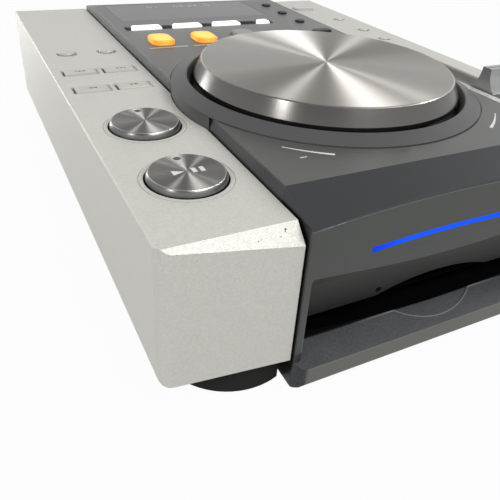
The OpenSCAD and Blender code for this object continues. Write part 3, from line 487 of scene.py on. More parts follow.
@dataclass(frozen=True)
class SpunMetal(Finish):
    """Metal turned on a lathe: fine rings round an upright axis, which smear light away from it."""

    metallic: float = 1.0
    axis_at: Pair = (0.0, 0.0)
    pull: float = 1.0
    rings: float = 5200.0
    bands: float = 600.0
    uneven: float = 0.08

    def settle(self, graph: Graph) -> None:
        """Sets the metal and how far the rings smear the light."""
        super().settle(graph)
        graph.fit("Anisotropic", self.pull)

    def colour_in(self, graph: Graph) -> None:
        """Adds the turning rings and points the smear away from the axis.

        Args:
            graph: The material.
        """
        across, along, radius = graph.from_axis(self.axis_at)
        outwards = {0: graph.vector(across, along, 0.0)}
        graph.fit("Tangent", graph.add("VectorMath", outwards, operation="NORMALIZE"))
        place = graph.vector(radius, 0.0, 0.0)
        rings, bands = (graph.noise(scale, BROAD_DETAIL, place) for scale in (self.rings, self.bands))
        self.surface(graph, self.paint(graph, rings, bands), rings)


@dataclass(frozen=True)
class GlossPlastic(Finish):
    """Moulded plastic with a clear, smooth surface, with painted shade darkening it towards a low edge."""

    coat: float = 0.6
    coat_roughness: float = 0.08
    low_shade: Colour = (0.0, 0.0, 0.0)
    fade: Pair = (-1.0, -0.5)
    uneven: float = 0.1

    def settle(self, graph: Graph) -> None:
        """Sets the clear skin.

        Args:
            graph: The material.
        """
        super().settle(graph)
        graph.fit("Coat Weight", self.coat)
        graph.fit("Coat Roughness", self.coat_roughness)

    def paint(self, graph: Graph, fine: Socket, broad: Socket) -> Socket:
        """The plastic's colour, fading into painted shade towards the low edge."""
        # Painted shade: below the fade's top the colour darkens towards the low edge.
        return graph.mix(graph.ramp(graph.z, *self.fade), self.low_shade, self.varied(graph, broad))


@dataclass(frozen=True)
class LitPlastic(Finish):
    """A translucent cap lit from below, brightest in its middle, or along it where it is a strip."""

    strip: bool = False
    glow: Colour = WHITE
    rim: Colour = WHITE
    strength: float = 1.0
    middle: Pair = (0.0, 0.0)
    reach: Pair = (0.01, 0.01)
    fall: Pair = (0.4, 1.4)

    def fitted(self, node: str) -> Finish:
        """Centres the glow on a CAD node.

        Args:
            node: The CAD node.

        Returns:
            The node's own finish.
        """
        low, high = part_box(node)
        middle, half = (low + high) / 2, (high - low) / 2
        reach = (half.x, 1.0 if self.strip else half.y)
        return replace(self, name=f"{node}_glow", middle=middle.xy[:], reach=reach)

    def settle(self, graph: Graph) -> None:
        """Sets the strength of the glow."""
        super().settle(graph)
        graph.fit("Emission Strength", self.strength)

    def colour_in(self, graph: Graph) -> None:
        """Adds a glow that fades towards the cap's rim.

        Args:
            graph: The material.
        """
        super().colour_in(graph)
        across, along = (
            graph.math("DIVIDE", graph.math("SUBTRACT", place, middle), reach)
            for place, middle, reach in zip((graph.x, graph.y), self.middle, self.reach))
        share = graph.ramp(graph.squares(across, along), *self.fall)
        graph.fit("Emission Color", graph.mix(share, self.glow, self.rim))


SILVER = SparklePaint("silver_paint", srgb(213, 212, 205), 0.47, 0.14, variation=0.085, specular=0.35)
DECK_PAINT = DeckPaint("deck_paint", srgb(86, 87, 85), 0.36, 0.1, grain=1500, variation=0.09, specular=0.8)
RING_PAINT = Finish("ring_paint", srgb(92, 92, 92), 0.42, 0.2, grain=1500, variation=0.08, specular=0.35)
FACE_PAINT = FrontPaint("face_paint", srgb(76, 78, 76), 0.36, 0.1, grain=1500, variation=0.08, specular=0.3)
COWL_GLOSS = GlossPlastic("cowl_gloss", srgb(102, 103, 98), 0.3, grain=300, grain_depth=0.000004,
                          coat=0.3, low_shade=srgb(6, 8, 10), fade=(0.024, 0.054), specular=0.25)
BLACK_STEEL = Finish("black_steel", srgb(44, 44, 44), 0.5, 0.1, specular=0.3)
BLACK_PLASTIC = Finish("black_plastic", srgb(34, 34, 35), 0.42, specular=0.3)
LINER_RUBBER = Finish("well_liner_rubber", srgb(14, 14, 14), 0.8, specular=0.1)
FOOT_RUBBER = Finish("foot_rubber", srgb(42, 42, 40), 0.8, grain=1800, grain_depth=0.00002, specular=0.1)
SLOT_FELT = Finish("slot_felt_pile", srgb(9, 9, 11), 0.95, grain=3500, grain_depth=0.0003, variation=0.5,
                   specular=0.0)
BRIGHT_STEEL = Finish("bright_steel", srgb(176, 178, 180), 0.32, 1.0, grain=400, variation=0.06)
BRONZE = Finish("sintered_bronze", srgb(184, 142, 82), 0.5, 1.0, grain=2500)
GOLD_PLATE = Finish("gold_plate", srgb(212, 176, 98), 0.22, 1.0, grain=500, variation=0.05)
SILVER_KEY = Finish("silver_key", srgb(200, 198, 192), 0.3, 0.4, grain=2000, variation=0.05)
KNOB_SATIN = Finish("knob_satin", srgb(160, 161, 161), 0.26, 0.55, grain=2000, variation=0.05)
BOARD_GREEN = Finish("circuit_board", srgb(28, 92, 58), 0.35, grain=600)
BLACK_RUBBER = Finish("roller_rubber", srgb(30, 30, 30), 0.8, grain=1500, grain_depth=0.0001, specular=0.2)
WINDOW = GlossPlastic("dark_window", srgb(58, 59, 59), 0.24, grain=200, grain_depth=0.000002, coat=0.0)
WHITE_INK = Finish("white_ink", srgb(226, 226, 222), grain=1200, grain_depth=0.000004, variation=0.04)
PALE_INK = replace(WHITE_INK, name="pale_ink", colour=srgb(188, 188, 184))
DARK_INK = replace(WHITE_INK, name="dark_ink", colour=srgb(92, 92, 88), variation=0.06, specular=0.3)
SMOKED_KEY = Finish("smoked_key", srgb(142, 140, 134), 0.35, grain=1200, variation=0.06)
WHITE_KEY = LitPlastic("white_lit_key", srgb(236, 236, 232), 0.45, strength=0.85)
AMBER_KEY = LitPlastic("amber_lit_key", srgb(170, 84, 20), 0.4, glow=srgb(255, 228, 100),
                       rim=srgb(248, 132, 22), strength=0.86)
BLUE_STRIP = LitPlastic("blue_strip", srgb(4, 12, 60), 0.4, glow=srgb(34, 92, 250), rim=srgb(4, 34, 236),
                        strength=0.96, specular=0.0, strip=True)
DIGIT_GLOW = LitPlastic("digit_glow", srgb(120, 140, 150), 0.5, glow=srgb(190, 205, 212),
                        rim=srgb(176, 196, 206), strength=0.5)
SPUN = SpunMetal("spun_metal", srgb(200, 196, 191), 0.62, variation=0.07)
# Painted shade: the dial's chamfer and, below, the keys' bowed sides are darker copies of the spun metal.
SHADED_CHAMFER = SpunMetal("shaded_turned_chamfer", srgb(104, 102, 99), 0.24, variation=0.1, pull=0.5)
# Painted highlights: the dial's rim and, below, the keys' rims are lighter copies of the metal than the
# sides.
RIM_HIGHLIGHT = SpunMetal("turned_rim_highlight", srgb(176, 174, 172), 0.3, variation=0.02, pull=0.3)
KEY_SPUN = SpunMetal("spun_key", srgb(164, 163, 159), 0.6, variation=0.08)
KEY_RIM_HIGHLIGHT = SpunMetal("key_rim_highlight", srgb(196, 195, 193), 0.34, variation=0.03, pull=0.3)
SHADED_KEY_SIDE = SpunMetal("shaded_key_side", srgb(118, 118, 116), 0.32, variation=0.05, pull=0.5)

Looks = dict[Finish, tuple[str, ...]]


def body_of(node: str) -> str:
    """Name of the body that carries a CAD node."""
    bodies = frame["record"]["behaviour"]["bodies"]
    return next(body for body, members in bodies.items() if node in members)


def dress(node: str, finish: Finish) -> None:
    """Gives a CAD node its finish."""
    frame["nodes"][node].data.materials.clear()
    frame["nodes"][node].data.materials.append(finish.fitted(node).material())


def shown(name: str, data: bpy.types.ID) -> bpy.types.Object:
    """Puts an object into the scene.

    Args:
        name: The object's name.
        data: Its mesh, light or camera.

    Returns:
        The new object.
    """
    thing = bpy.data.objects.new(name, data)
    bpy.context.scene.collection.objects.link(thing)
    return thing


def meshed(name: str, mesh: bmesh.types.BMesh) -> bpy.types.Object:
    """Turns a bmesh into an object of the scene.

    Args:
        name: The object's name.
        mesh: Its shape, in metres.

    Returns:
        The new object.
    """
    data = bpy.data.meshes.new(name)
    mesh.to_mesh(data)
    mesh.free()
    return shown(name, data)


def facing(at: Vector, right: Vector, up: Vector, back: Vector) -> Matrix:
    """The place of a camera or lamp, from its middle and its own axes."""
    return Matrix.Translation(at) @ Matrix((right, up, back)).transposed().to_4x4()


def finished(mesh: bmesh.types.BMesh, name: str, finishes: Sequence[Finish], node: str,
             sharp: float = 32.0) -> bpy.types.Object:
    """Turns a bmesh into a finished piece that rides with a CAD node's body.

    Args:
        mesh: The piece's shape, in metres. Its faces' material numbers choose their finish.
        name: The piece's name.
        finishes: Its finishes.
        node: The CAD node that it belongs to.
        sharp: Angle in degrees past which an edge stays crisp.

    Returns:
        The new object.
    """
    limit = math.radians(sharp)
    for face in mesh.faces:
        face.smooth = True
    for edge in mesh.edges:
        edge.smooth = len(edge.link_faces) == 2 and edge.calc_face_angle(0.0) < limit
    piece = meshed(name, mesh)
    for finish in finishes:
        piece.data.materials.append(finish.material())
    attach(piece, body_of(node))
    LOG.info("made %s, %d faces", name, len(piece.data.polygons))
    return piece


def turned(profile: Sequence[Pair], centre: Sequence[float], steps: int) -> bmesh.types.BMesh:
    """Spins a profile round an upright axis.

    Args:
        profile: Radius and height pairs in millimetres, in order round the section.
        centre: The axis's place in plan, in millimetres.
        steps: Steps of the full turn.

    Returns:
        The turned shape, in metres.
    """
    mesh = bmesh.new()
    middle = Vector((*centre, 0)) * MM
    points = [mesh.verts.new(middle + Vector((radius, 0, height)) * MM) for radius, height in profile]
    edges = [mesh.edges.new(pair) for pair in zip(points, points[1:])]
    if profile[0][0] > 0:
        edges.append(mesh.edges.new((points[-1], points[0])))
    bmesh.ops.spin(mesh, geom=points + edges, cent=middle, axis=(0, 0, 1), angle=math.tau,
                   steps=steps, use_merge=True, dvec=(0, 0, 0))
    bmesh.ops.remove_doubles(mesh, verts=mesh.verts, dist=MERGE_DISTANCE)
    bmesh.ops.recalc_face_normals(mesh, faces=mesh.faces)
    return mesh


class Marks:
    """Thin printed shapes on a level surface, gathered into one mesh."""

    DOT_SIDES = 32
    ARC_STEPS = 16

    def __init__(self, surface: float, proud: float = 0.03, sunk: float = 0.04) -> None:
        """Starts with no shapes.

        Args:
            surface: Height of the printed surface in millimetres.
            proud: How far the ink stands over it.
            sunk: How far the ink reaches into it.
        """
        self.mesh = bmesh.new()
        self.low = (surface - sunk) * MM
        self.rise = (proud + sunk) * MM

    def raise_up(self, faces: Sequence[bmesh.types.BMFace]) -> None:
        """Gives flat faces the ink's thickness.

        Args:
            faces: The faces, at the ink's underside.
        """
        for face in faces:
            face.normal_update()
            if face.normal.z > 0:
                face.normal_flip()
        grown = bmesh.ops.extrude_face_region(self.mesh, geom=faces, use_keep_orig=True)["geom"]
        moved = [item for item in grown if isinstance(item, bmesh.types.BMVert)]
        bmesh.ops.translate(self.mesh, verts=moved, vec=(0, 0, self.rise))

    def outline(self, *corners: Pair) -> None:
        """Adds a shape with straight sides, given by its corners in millimetres."""
        places = [self.mesh.verts.new((x * MM, y * MM, self.low)) for x, y in corners]
        self.raise_up([self.mesh.faces.new(places)])

    def bar(self, x: float, y: float, width: float, depth: float) -> None:
        """Adds a level bar of that size, about a middle in millimetres."""
        ends = ((-1, -1), (1, -1), (1, 1), (-1, 1))
        self.outline(*((x + side * width / 2, y + way * depth / 2) for side, way in ends))

    def dot(self, x: float, y: float, radius: float) -> None:
        """Adds a round dot of that radius, about a middle in millimetres."""
        turns = [math.tau * number / self.DOT_SIDES for number in range(self.DOT_SIDES)]
        self.outline(*((x + radius * math.cos(turn), y + radius * math.sin(turn)) for turn in turns))

    def arc(self, centre: Sequence[float], radius: float, start: float, turn: float,
            widths: Pair) -> None:
        """Adds a curved stroke whose width changes from end to end.

        Args:
            centre: Middle of the curve, in millimetres.
            radius: Its inner radius.
            start: Angle in degrees where it starts.
            turn: How far it goes round.
            widths: Its width at the start and at the end.
        """
        first, last = widths
        middle = Vector((*centre, 0)) * MM + Vector((0, 0, self.low))
        out = Vector((math.cos(math.radians(start)), math.sin(math.radians(start)), 0))
        ends = [self.mesh.verts.new(middle + out * distance * MM) for distance in (radius, radius + first)]
        edge = self.mesh.edges.new(ends)
        before = set(self.mesh.faces)
        bmesh.ops.spin(self.mesh, geom=ends + [edge], cent=middle, axis=(0, 0, 1),
                       angle=math.radians(turn), steps=self.ARC_STEPS, use_merge=False, dvec=(0, 0, 0))
        faces = [face for face in self.mesh.faces if face not in before]
        limit = (radius + first / 2) * MM
        for vert in {vert for face in faces for vert in face.verts}:
            arm = vert.co - middle
            if arm.length > limit:
                share = out.angle(arm) / math.radians(abs(turn))
                vert.co = middle + arm.normalized() * (radius + first + share * (last - first)) * MM
        self.raise_up(faces)

    def finish(self, name: str, finish: Finish, node: str) -> None:
        """Makes the printed piece of that name and ink, which rides with a CAD node."""
        bmesh.ops.recalc_face_normals(self.mesh, faces=self.mesh.faces)
        finished(self.mesh, name, [finish], node)


@dataclass
class SubAssembly:
    """Pieces that are made and dressed together."""

    finishes: ClassVar[Looks] = {}

    def build(self) -> None:
        """Makes the pieces that the frame doesn't hold."""

    def dress(self) -> None:
        """Gives the frame's own pieces their finishes."""
        for finish, nodes in self.finishes.items():
            for node in nodes:
                dress(node, finish)
                LOG.info("%s: dressed %s", type(self).__name__, node)


@dataclass
class LowerCase(SubAssembly):
    """The steel tray, its feet and its screws."""

    finishes = {
        BLACK_STEEL: ("bottom_case",), FOOT_RUBBER: ("feet",), BRIGHT_STEEL: ("case_screws",),
    }


@dataclass
class SideModules(SubAssembly):
    """The two silver modules beside the deck."""

    finishes = {SILVER: ("left_side_cover", "right_side_cover")}


@dataclass
class Deck(SubAssembly):
    """The dark deck with the printed strokes round the dial and under the loop keys."""

    arc_radius: float = 74.2
    arc_start: float = 46.2
    arc_turn: float = 14.2
    arc_widths: Pair = (0.35, 1.3)
    sign_at: Pair = (48.4, -111.2)
    sign_size: Pair = (2.6, 0.5)
    plus_ends: Pair = (1.0, 0.9)
    label_x: tuple[float, ...] = (-48.0, -24.2, 0.2)
    label_y: float = 24.3
    label_size: Pair = (20.6, 1.5)
    finishes = {DECK_PAINT: ("top_panel",)}

    def build(self) -> None:
        """Prints the turning arcs with their signs, and the pale labels."""
        x, y = self.sign_at
        offset, length = self.plus_ends
        arcs = Marks(DECK_TOP / MM)
        for side in (-1, 1):
            start = -90 + side * (90 - self.arc_start)
            arcs.arc(DIAL_CENTRE, self.arc_radius, start, -side * self.arc_turn, self.arc_widths)
            arcs.bar(side * x, y, *self.sign_size)
        for way in (1, -1):
            arcs.bar(x, y + way * offset, self.sign_size[1], length)
        arcs.finish("turning_arcs", WHITE_INK, "top_panel")
        labels = Marks(DECK_TOP / MM)
        for label_x in self.label_x:
            labels.bar(label_x, self.label_y, *self.label_size)
        labels.finish("loop_labels", PALE_INK, "top_panel")


@dataclass(frozen=True)
class TurnedCap:
    """A turned metal part: a spun flat, a plainer side darkened as painted shade and, between them, a fine
    rim lighter than the side, a painted highlight.

    The zones give the reach and the drop from the top that bound the flat and the rim.
    """

    name: str
    node: str
    label: str
    centre: Pair
    profile: tuple[Pair, ...]
    looks: tuple[SpunMetal, SpunMetal, SpunMetal]
    zones: tuple[Pair, Pair]
    steps: int
    sharp: float = 14.0

    def make(self) -> None:
        """Turns the part in place of its CAD node."""
        top = self.profile[0][1]
        mesh = turned(self.profile, self.centre, self.steps)
        for face in mesh.faces:
            middle = face.calc_center_median() / MM
            reach = math.dist(middle.xy, self.centre)
            on_flat, on_rim = (reach < edge and top - middle.z < drop for edge, drop in self.zones)
            # Side faces take the darker copy, painted shade; rim faces the lighter copy, a painted
            # highlight.
            face.material_index = 0 if on_flat else 2 if on_rim else 1
        at = tuple(place * MM for place in self.centre)
        looks = [replace(look, name=f"{self.label}_{look.name}", axis_at=at) for look in self.looks]
        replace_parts(finished(mesh, self.name, looks, self.node, self.sharp), self.node)


@dataclass
class JogWheel(SubAssembly):
    """The dial with its fixed ring, spindle, bush and slotted disc."""

    profile: tuple[Pair, ...] = (
        (0, 82.5), (55.0, 82.5), (55.35, 82.42), (55.7, 82.15), (58.42, 76.2), (58.58, 75.8),
        (58.6, 74.05), (58.4, 73.8), (56.6, 73.8), (56.4, 75.9), (53.8, 80.3), (9, 80.3), (9, 67.5),
        (5, 67.5), (5, 78.5), (0, 78.5),
    )
    zones: tuple[Pair, Pair] = ((55.0, 0.1), (55.75, 0.4))
    steps: int = 192
    finishes = {
        RING_PAINT: ("jog_ring",), BRIGHT_STEEL: ("jog_spindle",), BRONZE: ("jog_bearing",),
        BLACK_PLASTIC: ("jog_encoder_disc",),
    }

    def build(self) -> None:
        """Turns the dial."""
        looks = (SPUN, SHADED_CHAMFER, RIM_HIGHLIGHT)
        TurnedCap("turned_dial", "jog_dial", "dial", DIAL_CENTRE, self.profile, looks, self.zones,
                  self.steps).make()


class KeySign(Enum):
    """What is printed on a transport key."""

    PLAIN = "plain"
    PLAY_PAUSE = "play_pause"


@dataclass
class TransportKeys(SubAssembly):
    """The two large spun-metal keys in their black-lined wells."""

    x: float = -86.7
    keys: tuple[tuple[str, float, KeySign], ...] = (
        ("cue_button", -58.25, KeySign.PLAIN), ("play_button", -102.85, KeySign.PLAY_PAUSE),
    )
    top: float = 69.9
    zones: tuple[Pair, Pair] = ((12.4, 0.01), (13.0, 0.16))
    edge: tuple[Pair, ...] = ((12.4, 69.9), (12.62, 69.86), (12.8, 69.7))
    bow: Triple = (9.5, 67.5, 4.0)
    bow_turns: tuple[int, ...] = (28, 21, 14, 7, 0)
    foot: tuple[Pair, ...] = (
        (13.5, 64.8), (14.7, 64.8), (14.7, 63.6), (1.8, 63.6), (1.8, 59.6), (0, 59.6),
    )
    lamp_back: float = 9.5
    lamp_r: float = 1.2
    lamp_proud: float = 0.08
    arrow: Triple = (5.05, 0.95, 1.6)
    pause_x: Pair = (2.35, 5.15)
    pause_size: Pair = (1.6, 3.1)
    liner: tuple[Pair, ...] = ((13.78, 67.2), (14.08, 67.2), (14.08, 65.15), (13.78, 65.15))
    steps: int = 128
    liner_steps: int = 96

    def side(self) -> tuple[Pair, ...]:
        """The key's profile, from its top over its bowed side to its flange and stem.

        Returns:
            Radius and height pairs in millimetres.
        """
        out, up, radius = self.bow
        turns = [math.radians(turn) for turn in self.bow_turns]
        bow = tuple((out + radius * math.cos(turn), up + radius * math.sin(turn)) for turn in turns)
        return ((0, self.top), *self.edge, *bow, *self.foot)

    def sign(self, node: str, y: float, kind: KeySign) -> None:
        """Prints a key's sign and sets its small lamp window.

        Args:
            node: The key.
            y: Its place along the module.
            kind: What is printed.
        """
        lamp = Marks(self.top, proud=self.lamp_proud)
        lamp.dot(self.x, y + self.lamp_back, self.lamp_r)
        lamp.finish(f"{node}_lamp", DARK_INK, node)
        if kind is KeySign.PLAY_PAUSE:
            tail, tip, half = self.arrow
            ink = Marks(self.top)
            ink.outline((self.x - tail, y + half), (self.x - tail, y - half), (self.x - tip, y))
            for step in self.pause_x:
                ink.bar(self.x + step, y, *self.pause_size)
            ink.finish(f"{node}_sign", WHITE_INK, node)

    def build(self) -> None:
        """Makes both keys and the rubber liners of their wells."""
        looks = (KEY_SPUN, SHADED_KEY_SIDE, KEY_RIM_HIGHLIGHT)
        for node, y, kind in self.keys:
            at = (self.x, y)
            TurnedCap(f"turned_{node}", node, node, at, self.side(), looks, self.zones, self.steps).make()
            self.sign(node, y, kind)
            liner = turned(self.liner, at, self.liner_steps)
            finished(liner, f"{node}_well_liner", [LINER_RUBBER], "left_side_cover")


@dataclass
class SkipKeys(SubAssembly):
    """The folder, track and search pairs with their printed signs."""

    ways: tuple[tuple[str, float, int], ...] = (("back", -96.1, -1), ("next", -77.5, 1))
    rows: tuple[tuple[str, float, bool], ...] = (("track", 11.05, True), ("search", -12.75, False))
    height: float = 1.5
    point: float = 1.9
    gap: float = 0.1
    stop: Pair = (0.45, 0.4)
    finishes = {
        SILVER_KEY: ("folder_back_button", "folder_next_button", "track_back_button", "track_next_button",
                     "search_back_button", "search_next_button"),
    }

    def sign(self, node: str, at: Pair, way: int, stop: bool) -> None:
        """Prints two arrowheads, with a stop bar on a track key.

        Args:
            node: The key.
            at: Its middle in plan.
            way: 1 for forwards, -1 for back.
            stop: Whether a bar ends the sign.
        """
        x, y = at
        ink = Marks(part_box(node)[1].z / MM)
        half = self.height / 2
        for step in (-self.point, self.gap):
            tail = x + way * step
            corners = [(tail, y - half), (tail + way * self.point, y), (tail, y + half)]
            ink.outline(*(corners if way > 0 else reversed(corners)))
        if stop:
            beyond, width = self.stop
            ink.bar(x + way * (self.point + beyond), y, width, self.height)
        ink.finish(f"{node}_sign", DARK_INK, node)

    def build(self) -> None:
        """Prints the four bar keys."""
        for row, y, stop in self.rows:
            for name, x, way in self.ways:
                self.sign(f"{row}_{name}_button", (x, y), way, stop)


@dataclass
class LitKeys(SubAssembly):
    """The white and amber keys of the deck, lit from below, and the one that is unlit."""

    finishes = {
        WHITE_KEY: ("effect_a_button", "effect_b_button", "effect_c_button", "hold_button"),
        AMBER_KEY: ("loop_in_button", "loop_out_button"), SMOKED_KEY: ("reloop_button",),
    }


@dataclass
class SmallKeys(SubAssembly):
    """The round and oblong keys of the deck and of the right module."""

    finishes = {
        BLACK_PLASTIC: ("round_button_rear", "round_button_mid", "round_button_front", "mode_button"),
        SILVER_KEY: ("eject_button", "time_button", "tempo_range_button", "master_tempo_button"),
    }


@dataclass
class TempoSlider(SubAssembly):
    """The tempo fader's knob, stem and scale."""

    x: float = 88.55
    y: float = -53.55
    half_travel: float = 50.0
    step: float = 10.0
    tick: Pair = (1.6, 0.3)
    long_tick: float = 1.8
    aside: float = 10.4
    aside_growth: float = 0.6
    index: Pair = (12.2, 0.55)
    finishes = {
        KNOB_SATIN: ("tempo_slider_knob",), BRIGHT_STEEL: ("tempo_slider_stem",),
        BLACK_PLASTIC: ("tempo_fader",),
    }

    def build(self) -> None:
        """Prints the scale beside the trough and the knob's index line."""
        scale = Marks(SIDE_TOP / MM)
        width, depth = self.tick
        marks = round(2 * self.half_travel / self.step)
        for number in range(marks + 1):
            length = self.long_tick if number == marks // 2 else 1.0
            across = self.x - self.aside - (length - 1) * self.aside_growth
            scale.bar(across, self.y - self.half_travel + number * self.step, width * length, depth)
        scale.finish("tempo_scale", DARK_INK, "right_side_cover")
        low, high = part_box("tempo_slider_knob")
        index = Marks(high.z / MM)
        index.bar(self.x, (low.y + high.y) / 2 / MM, *self.index)
        index.finish("knob_index", DARK_INK, "tempo_slider_knob")


@dataclass
class SlotFront(SubAssembly):
    """The front with its blue light, glossy scoop and felt-lined slot."""

    finishes = {
        FACE_PAINT: ("front_fascia",), BLUE_STRIP: ("light_strip",), COWL_GLOSS: ("slot_cowl",),
        SLOT_FELT: ("slot_felt",),
    }


@dataclass
class Display(SubAssembly):
    """The dark window over the display, with its lit figures."""

    size: Pair = (2.2, 4.6)
    stroke: float = 0.5
    proud: float = 0.01
    row_y: float = 115.0
    row_x: tuple[float, ...] = (-30.0, -26.4, -12.0, -8.4, -2.4, 1.2, 7.2, 10.8)
    figures: str = "01032415"
    strokes: ClassVar[dict[str, str]] = {
        "0": "abcdef", "1": "bc", "2": "abdeg", "3": "abcdg", "4": "bcfg", "5": "acdfg",
    }
    upright: str = "bcef"
    places: ClassVar[dict[str, Pair]] = {
        "a": (0, 1), "b": (1, 0.5), "c": (1, -0.5), "d": (0, -1), "e": (-1, -0.5), "f": (-1, 0.5),
        "g": (0, 0),
    }
    finishes = {WINDOW: ("display_window",), BLACK_PLASTIC: ("display_module",)}

    def figure(self, marks: Marks, x: float, figure: str) -> None:
        """Adds one figure.

        Args:
            marks: Where it goes.
            x: Its middle.
            figure: Which figure.
        """
        (width, height), line = self.size, self.stroke
        up = (height - line) / 2
        for letter in self.strokes[figure]:
            across, along = self.places[letter]
            size = (line, up - line) if letter in self.upright else (width - line, line)
            marks.bar(x + across * width / 2, self.row_y + along * up, *size)

    def build(self) -> None:
        """Makes the row of figures."""
        marks = Marks(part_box("display_window")[1].z / MM, proud=self.proud)
        for figure, x in zip(self.figures, self.row_x):
            self.figure(marks, x, figure)
        marks.finish("display_figures", DIGIT_GLOW, "display_window")


@dataclass
class RearPanel(SubAssembly):
    """The rear panel's sockets, inlet and switch."""

    jack_height: float = 40.0
    rings: tuple[tuple[str, float, Colour], ...] = (
        ("audio_jacks", 50.0, srgb(226, 226, 220)), ("audio_jacks", 34.0, srgb(186, 38, 32)),
        ("digital_jack", 16.0, srgb(206, 116, 30)),
    )
    ring: tuple[Pair, ...] = ((4.3, 0.9), (6.2, 0.9), (6.2, 0.02), (4.3, 0.02))
    ring_steps: int = 48
    finishes = {
        BLACK_STEEL: ("rear_panel",), GOLD_PLATE: ("audio_jacks", "digital_jack"),
        BLACK_PLASTIC: ("control_jack", "ac_inlet", "power_switch_body", "power_switch_rocker"),
    }

    def build(self) -> None:
        """Makes the coloured rings round the phono sockets."""
        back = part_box("rear_panel")[1].y
        face_back = Matrix.Rotation(math.radians(-90), 4, "X")
        for node, x, colour in self.rings:
            mesh = turned(self.ring, (0, 0), self.ring_steps)
            at = Matrix.Translation((x * MM, back, self.jack_height * MM))
            bmesh.ops.transform(mesh, matrix=at @ face_back, verts=mesh.verts)
            name = f"socket_ring_{x:.0f}"
            finished(mesh, name, [Finish(name, colour, 0.4)], node)


@dataclass
class Electronics(SubAssembly):
    """The boards inside."""

    finishes = {BOARD_GREEN: ("main_board", "power_supply", "key_boards")}


@dataclass
class DiscDrive(SubAssembly):
    """The slot-loading drive inside."""

    finishes = {
        BRIGHT_STEEL: ("drive_chassis", "spindle_motor", "feed_screw", "clamp_arm"),
        BLACK_PLASTIC: ("turntable", "optical_pickup"), BLACK_RUBBER: ("loading_roller",),
    }


@dataclass(frozen=True)
class Lamp:
    """A soft lamp that looks at the player from a direction."""

    name: str
    azimuth: float
    elevation: float
    watts: float
    width: float
    height: float
    distance: float = 1.4
    mirrored_only: bool = False
    aim: Triple = (0.0, -0.04, 0.06)

    def place(self) -> None:
        """Adds the lamp to the scene."""
        turn, lift = math.radians(self.azimuth), math.radians(self.elevation)
        way = Vector((math.cos(turn) * math.cos(lift), math.sin(turn) * math.cos(lift), math.sin(lift)))
        level = Vector((0, 0, 1)).cross(way).normalized()
        data = bpy.data.lights.new(self.name, "AREA")
        data.shape = "RECTANGLE"
        data.size = self.width
        data.size_y = self.height
        data.energy = self.watts
        lamp = shown(self.name, data)
        lamp.visible_camera = False
        lamp.visible_diffuse = not self.mirrored_only
        lamp.matrix_world = facing(Vector(self.aim) + way * self.distance, level, way.cross(level), way)


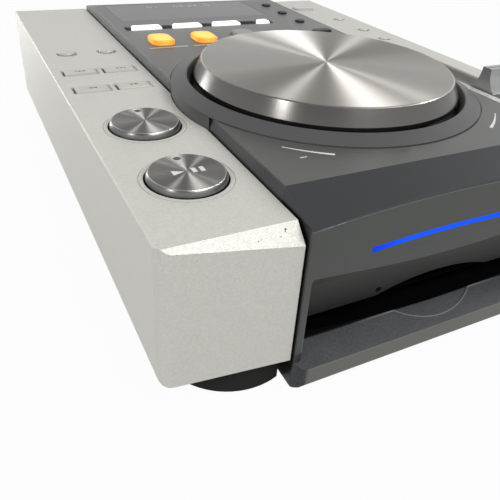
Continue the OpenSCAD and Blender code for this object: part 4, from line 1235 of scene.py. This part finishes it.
@dataclass
class Studio:
    """The camera of the photograph, a pale floor and soft light."""

    lamps: tuple[Lamp, ...] = (
        Lamp("key_softbox", -64, 48, 9.4, 1.1, 0.3), Lamp("left_softbox", -157, 31, 4.2, 0.2, 0.2),
        Lamp("right_softbox", -5, 35, 2.0, 0.2, 0.2),
        Lamp("reflected_card", -72, 46, 6.0, 0.6, 0.3, mirrored_only=True),
        Lamp("rear_left_softbox", 126, 0, 0.24, 0.1, 0.08, distance=0.42),
    )
    sensor: float = 36.0
    lens: float = 40.49
    shift: Pair = (-0.0052, -0.0693)
    nearest: float = 0.01
    camera_at: Triple = (-144.43, -253.75, 153.98)
    right_up_back: tuple[Triple, ...] = (
        (0.8930, -0.4457, 0.0628), (0.1875, 0.4952, 0.8484), (-0.4092, -0.7458, 0.5258),
    )
    from_above: float = 0.5
    from_left: float = 0.5
    horizon: float = 1.0
    overhead: float = 0.2
    fall: Pair = (0.2, 0.85)
    floor_half: float = 6.0
    floor_colour: Colour = (0.55, 0.55, 0.55)
    floor_roughness: float = 0.9
    floor_white: float = 0.96
    floor_mirrored: float = 0.6

    def camera(self) -> None:
        """Sets the camera where the photograph's stood."""
        data = bpy.data.cameras.new("photo_camera")
        data.sensor_width = self.sensor
        data.lens = self.lens
        data.shift_x, data.shift_y = self.shift
        data.clip_start = self.nearest
        camera = shown("photo_camera", data)
        camera.matrix_world = facing(Vector(self.camera_at) * MM, *map(Vector, self.right_up_back))
        bpy.context.scene.camera = camera

    def world(self) -> None:
        """Lights the scene softly, and shows white to the camera and along the horizon of reflections."""
        world = bpy.data.worlds.new("studio")
        world.use_nodes = True
        nodes = Nodes(world.node_tree, "Generated")
        seen, reflected = nodes.rays()
        left = nodes.highest(nodes.times(nodes.x, -self.from_left), 0.0)
        sky = nodes.math("MULTIPLY_ADD", nodes.z, self.from_above, left)
        card = nodes.ramp(nodes.z, *self.fall, ends=(self.horizon, self.overhead), easing="SMOOTHSTEP")
        soft, mirrored, white = (
            nodes.add("Background", {"Color": WHITE, "Strength": level}) for level in (sky, card, 1.0))
        light = nodes.mix_shaders(seen, nodes.mix_shaders(reflected, soft, mirrored), white)
        nodes.put(world.node_tree.nodes["World Output"].inputs["Surface"], light)
        world.cycles.sampling_method = "NONE"
        bpy.context.scene.world = world

    def floor(self) -> None:
        """Lays a wide pale floor that keeps the player's shadow and shows nearly white."""
        mesh = bmesh.new()
        bmesh.ops.create_grid(mesh, x_segments=1, y_segments=1, size=self.floor_half)
        floor = meshed("floor", mesh)
        graph = Graph("pale_floor")
        graph.fit("Base Color", self.floor_colour)
        graph.fit("Roughness", self.floor_roughness)
        graph.fit("Specular IOR Level", 0.0)
        seen, reflected = graph.rays()
        white, mirrored = graph.times(seen, self.floor_white), graph.times(reflected, self.floor_mirrored)
        share = graph.highest(white, mirrored)
        light = graph.mix_shaders(share, graph.shader.outputs[0], graph.add("Emission", {}))
        graph.put(graph.tree.nodes["Material Output"].inputs["Surface"], light)
        floor.data.materials.append(graph.material)

    def build(self) -> None:
        """Sets up the whole studio."""
        self.camera()
        self.world()
        for lamp in self.lamps:
            lamp.place()
        self.floor()
        bpy.context.scene.view_settings.view_transform = "Standard"
        LOG.info("studio ready")


def main() -> None:
    """Builds the sub-assemblies in order and reports each."""
    logging.basicConfig(level=logging.INFO, format="%(message)s")
    Studio().build()
    assemblies: tuple[SubAssembly, ...] = (
        LowerCase(), SideModules(), Deck(), JogWheel(), TransportKeys(), SkipKeys(), LitKeys(), SmallKeys(),
        TempoSlider(), SlotFront(), Display(), RearPanel(), Electronics(), DiscDrive(),
    )
    for assembly in assemblies:
        assembly.build()
        assembly.dress()


def corners(bounds: object) -> list:
    """A box's numbers as plain lists."""
    return [[float(part) for part in row] for row in bounds]


if __name__ == "__main__":
    main()
